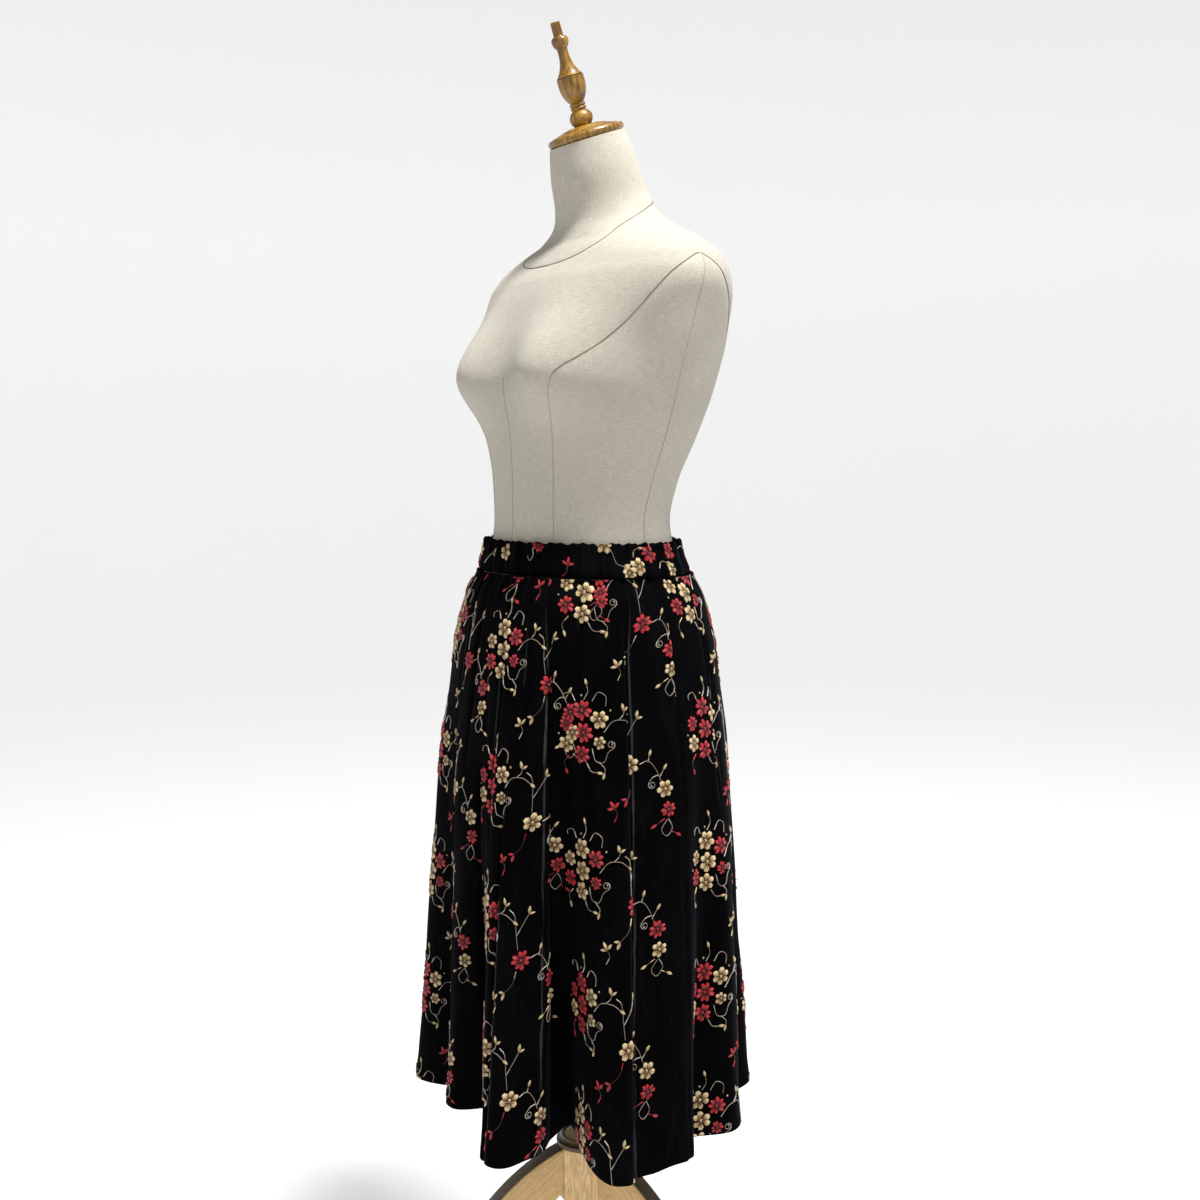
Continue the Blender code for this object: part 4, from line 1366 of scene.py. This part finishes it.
class SKIRT_OT_base(Operator):
    """Makes the base's three curved planks and its dark rim with a light disc, and gives the block and the
    rod their finishes
    """

    bl_idname = "skirt.base"
    bl_label = "Oak Base"

    def execute(self, context):
        settings = context.scene.skirt_wood
        oak, stain = Vector(settings.oak), Vector(settings.stain)
        faces = oak_finish("oak_faces", oak, oak * 0.62, 0.25)
        edges = oak_finish("stained_edges", stain, stain * 0.5, 0.08)
        # Lighter oak on the rounded arrises: a painted highlight along each edge
        arris = oak_finish("arris_highlight", oak * 1.05, oak * 0.7)
        for name, turn in LEG_TURNS.items():
            self.leg(name, turn, [faces, edges, arris])
        turned_piece("dark_rim", bow_line(COLLAR_START, COLLAR_ROWS), edges, "hub_collar")
        disc = oak_finish("disc_oak", oak * 1.05, oak * 0.7, 0.4, (4.0, 22.0, 22.0))
        turned_piece("light_disc", bow_line(INSET_START, INSET_ROWS), disc, "hub_inset")
        block = oak_finish("block_oak", oak * 1.08, oak * 0.66, 0.8, (7.0, 7.0, 0.9), carried=False)
        self.dress("hub_block", block)
        self.dress("rod", self.steel())
        return {"FINISHED"}

    def dress(self, node, finish):
        """Gives a node of the frame its finish."""
        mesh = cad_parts[node].data
        mesh.materials.clear()
        mesh.materials.append(finish)

    def steel(self):
        """Satin steel, brushed round the tube."""
        finish = Finish("satin_steel", metallic=1.0)
        brushed = finish.noise(finish.stretch(finish.place(), (3.0, 3.0, 60.0)), 60.0, 3.0)
        colour = finish.mix(brushed, (0.50, 0.50, 0.52), (0.66, 0.66, 0.68))
        return finish.wear(base_color=colour, roughness=0.28 + brushed * 0.2)

    def leg(self, name, turn, finishes):
        """A curved plank on edge, with rounded arrises and a flat foot."""
        shares = np.linspace(0, 1, LEG_STEPS)
        top, low = bezier(LEG_TOP_EDGE, shares), bezier(LEG_LOWER_EDGE, shares)
        across = unit(top - low)
        corner = np.radians(np.linspace(0, 90, 5))
        # Which edge each line of the section runs by, on which side of the plank, and its place on the arris
        corners = ((1, 1, 1), (1, -1, -1), (0, -1, 1), (0, 1, -1))
        section = [(edge, side, bend) for edge, side, way in corners for bend in corner[::way]]
        rows = []
        for edge, side, bend in section:
            inset = ARRIS * (1 - math.sin(bend))
            out = LEG_THICKNESS / 2 - ARRIS * (1 - math.cos(bend))
            line = top - across * inset if edge else low + across * inset
            rows.append(np.column_stack([LEG_START + line[:, 0], np.full(len(line), side * out), line[:, 1]]))
        points = np.stack(rows, axis=1)
        points[-1, :, 2] = 0.0
        steps, count = points.shape[:2]
        quads = grid_quads(steps, count, closed=True)
        kinds = np.tile(self.section_finishes(section), steps - 1)
        faces = quads.tolist() + [list(range(count))[::-1], list(range((steps - 1) * count, steps * count))]
        kinds = np.concatenate([kinds, [FACE, FACE]])
        length = along_rows(((top + low) / 2)[None])[0]
        from_edge = np.linalg.norm(points[..., [0, 2]] - (low + [LEG_START, 0])[:, None, :], axis=-1)
        grain = joined(length[:, None], from_edge + turn, points[..., 1])
        spin = np.array(Matrix.Rotation(math.radians(turn), 3, "Z"))
        piece = add_piece(
            f"oak_{name}", points.reshape(-1, 3) @ spin.T, faces, finishes, {"grain": grain.reshape(-1, 3)},
            face_materials=kinds, angle=40,
        )
        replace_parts(piece, name)

    def section_finishes(self, section):
        """The finish of each stretch round a leg's section: broad faces, stained edges, and arrises of
        lighter oak that paint a highlight along each edge.
        """
        following = section[1:] + section[:1]
        return [
            FACE if edge != next_edge else EDGE if side != next_side else ARRIS_HIGHLIGHT
            for (edge, side, _), (next_edge, next_side, _) in zip(section, following)
        ]


# ---------------------------------------------------------------- the stage

FLOOR_RADIUS, FLOOR_BEND, WALL_TOP, FLOOR_SIDES = 5.5, 2.5, 4.6, 96
WALL_RADIUS = FLOOR_RADIUS + FLOOR_BEND
AIM_HEIGHT = 1.15  # what the key light points at
KEY_DISTANCE = 3.2
KEY_RIGHT, KEY_TOWARDS, KEY_UP = 0.22, 0.20, 0.95  # its place, as seen by the camera


class SKIRT_OT_stage(Operator):
    """Sets the camera, the soft light and the pale floor that rises into a backdrop all round"""

    bl_idname = "skirt.stage"
    bl_label = "Stage"

    def execute(self, context):
        settings = context.scene.skirt_stage
        turn, pitch = settings.azimuth, settings.pitch
        towards = Vector((math.sin(turn), -math.cos(turn), 0))
        right = Vector((math.cos(turn), math.sin(turn), 0))
        up = Vector((0, 0, 1))
        lens = bpy.data.cameras.new("camera")
        lens.lens = settings.lens
        lens.sensor_width = 36.0
        camera = linked("camera", lens)
        camera.location = towards * settings.distance + right * settings.beside + up * settings.height
        ahead = -towards * math.cos(pitch) - up * math.sin(pitch)
        camera.rotation_euler = ahead.to_track_quat("-Z", "Y").to_euler()
        context.scene.camera = camera
        offset = right * KEY_RIGHT + towards * KEY_TOWARDS + up * KEY_UP
        self.key_light(settings, offset * KEY_DISTANCE + up * AIM_HEIGHT)
        self.sky(context.scene, settings)
        self.floor(settings)
        context.scene.view_settings.view_transform = "Standard"
        return {"FINISHED"}

    def key_light(self, settings, place):
        light = bpy.data.lights.new("key_light", "AREA")
        light.energy = settings.key
        light.size = settings.key_size
        lamp = linked("key_light", light)
        lamp.location = place
        lamp.rotation_euler = (place - Vector((0, 0, AIM_HEIGHT))).to_track_quat("Z", "Y").to_euler()

    def sky(self, scene, settings):
        scene.world = bpy.data.worlds.new("sky")
        scene.world.use_nodes = True
        background = scene.world.node_tree.nodes["Background"]
        background.inputs["Color"].default_value = (1.0, 1.0, 1.0, 1.0)
        background.inputs["Strength"].default_value = settings.sky

    def floor(self, settings):
        """A floor that curves up all round, out of the way of any view."""
        glow = {"emission_strength": settings.glow, "emission_color": (1.0, 1.0, 1.0)}
        finish = Finish("floor", roughness=0.8, specular_ior_level=0.2, **glow)
        pale = Vector(settings.floor)
        mottle = finish.mix(finish.noise(finish.place(), 1.5, 3.0), pale * 0.99, pale * 1.01)
        paint = finish.wear(base_color=mottle)
        bend = np.linspace(0, math.pi / 2, 20)
        radius = np.concatenate([[0.01, 1.0, 3.0], FLOOR_RADIUS + FLOOR_BEND * np.sin(bend), [WALL_RADIUS]])
        height = np.concatenate([[0.0, 0.0, 0.0], FLOOR_BEND * (1 - np.cos(bend)), [WALL_TOP]])
        rings = turned_rings(radius[:, None], height[:, None], FLOOR_SIDES)
        mesh = bpy.data.meshes.new("floor")
        faces = grid_quads(len(radius), FLOOR_SIDES, closed=True).tolist() + [list(range(FLOOR_SIDES))]
        mesh.from_pydata(rings.tolist(), [], faces)
        mesh.materials.append(paint)
        mesh.shade_smooth()
        linked("floor", mesh)


# ---------------------------------------------------------------- the add-on

OPERATORS = (
    SKIRT_OT_panels,
    SKIRT_OT_casing,
    SKIRT_OT_sprays,
    SKIRT_OT_form_body,
    SKIRT_OT_neck_wood,
    SKIRT_OT_base,
    SKIRT_OT_stage,
)


class SKIRT_PT_sidebar(Panel):
    """Lists the pieces in the order in which they are made"""

    bl_idname = "SKIRT_PT_sidebar"
    bl_label = "Skirt"
    bl_space_type = "VIEW_3D"
    bl_region_type = "UI"
    bl_category = "Skirt"

    def draw(self, context):
        for operator in OPERATORS:
            self.layout.operator(operator.bl_idname)
        for group in SETTINGS:
            box = self.layout.box()
            values = getattr(context.scene, group)
            for name in values.__annotations__:
                box.prop(values, name)


SETTINGS = {
    "skirt_velvet": SkirtSettings,
    "skirt_form": FormSettings,
    "skirt_wood": WoodSettings,
    "skirt_stage": StageSettings,
}


def register():
    for name, group in SETTINGS.items():
        bpy.utils.register_class(group)
        setattr(bpy.types.Scene, name, PointerProperty(type=group))
    for operator in (*OPERATORS, SKIRT_PT_sidebar):
        bpy.utils.register_class(operator)


def unregister():
    for operator in (*OPERATORS, SKIRT_PT_sidebar):
        bpy.utils.unregister_class(operator)
    for name, group in SETTINGS.items():
        delattr(bpy.types.Scene, name)
        bpy.utils.unregister_class(group)


def main():
    register()
    bpy.ops.skirt.panels()
    bpy.ops.skirt.casing()
    bpy.ops.skirt.sprays()
    bpy.ops.skirt.form_body()
    bpy.ops.skirt.neck_wood()
    bpy.ops.skirt.base()
    bpy.ops.skirt.stage()


if __name__ == "__main__":
    main()
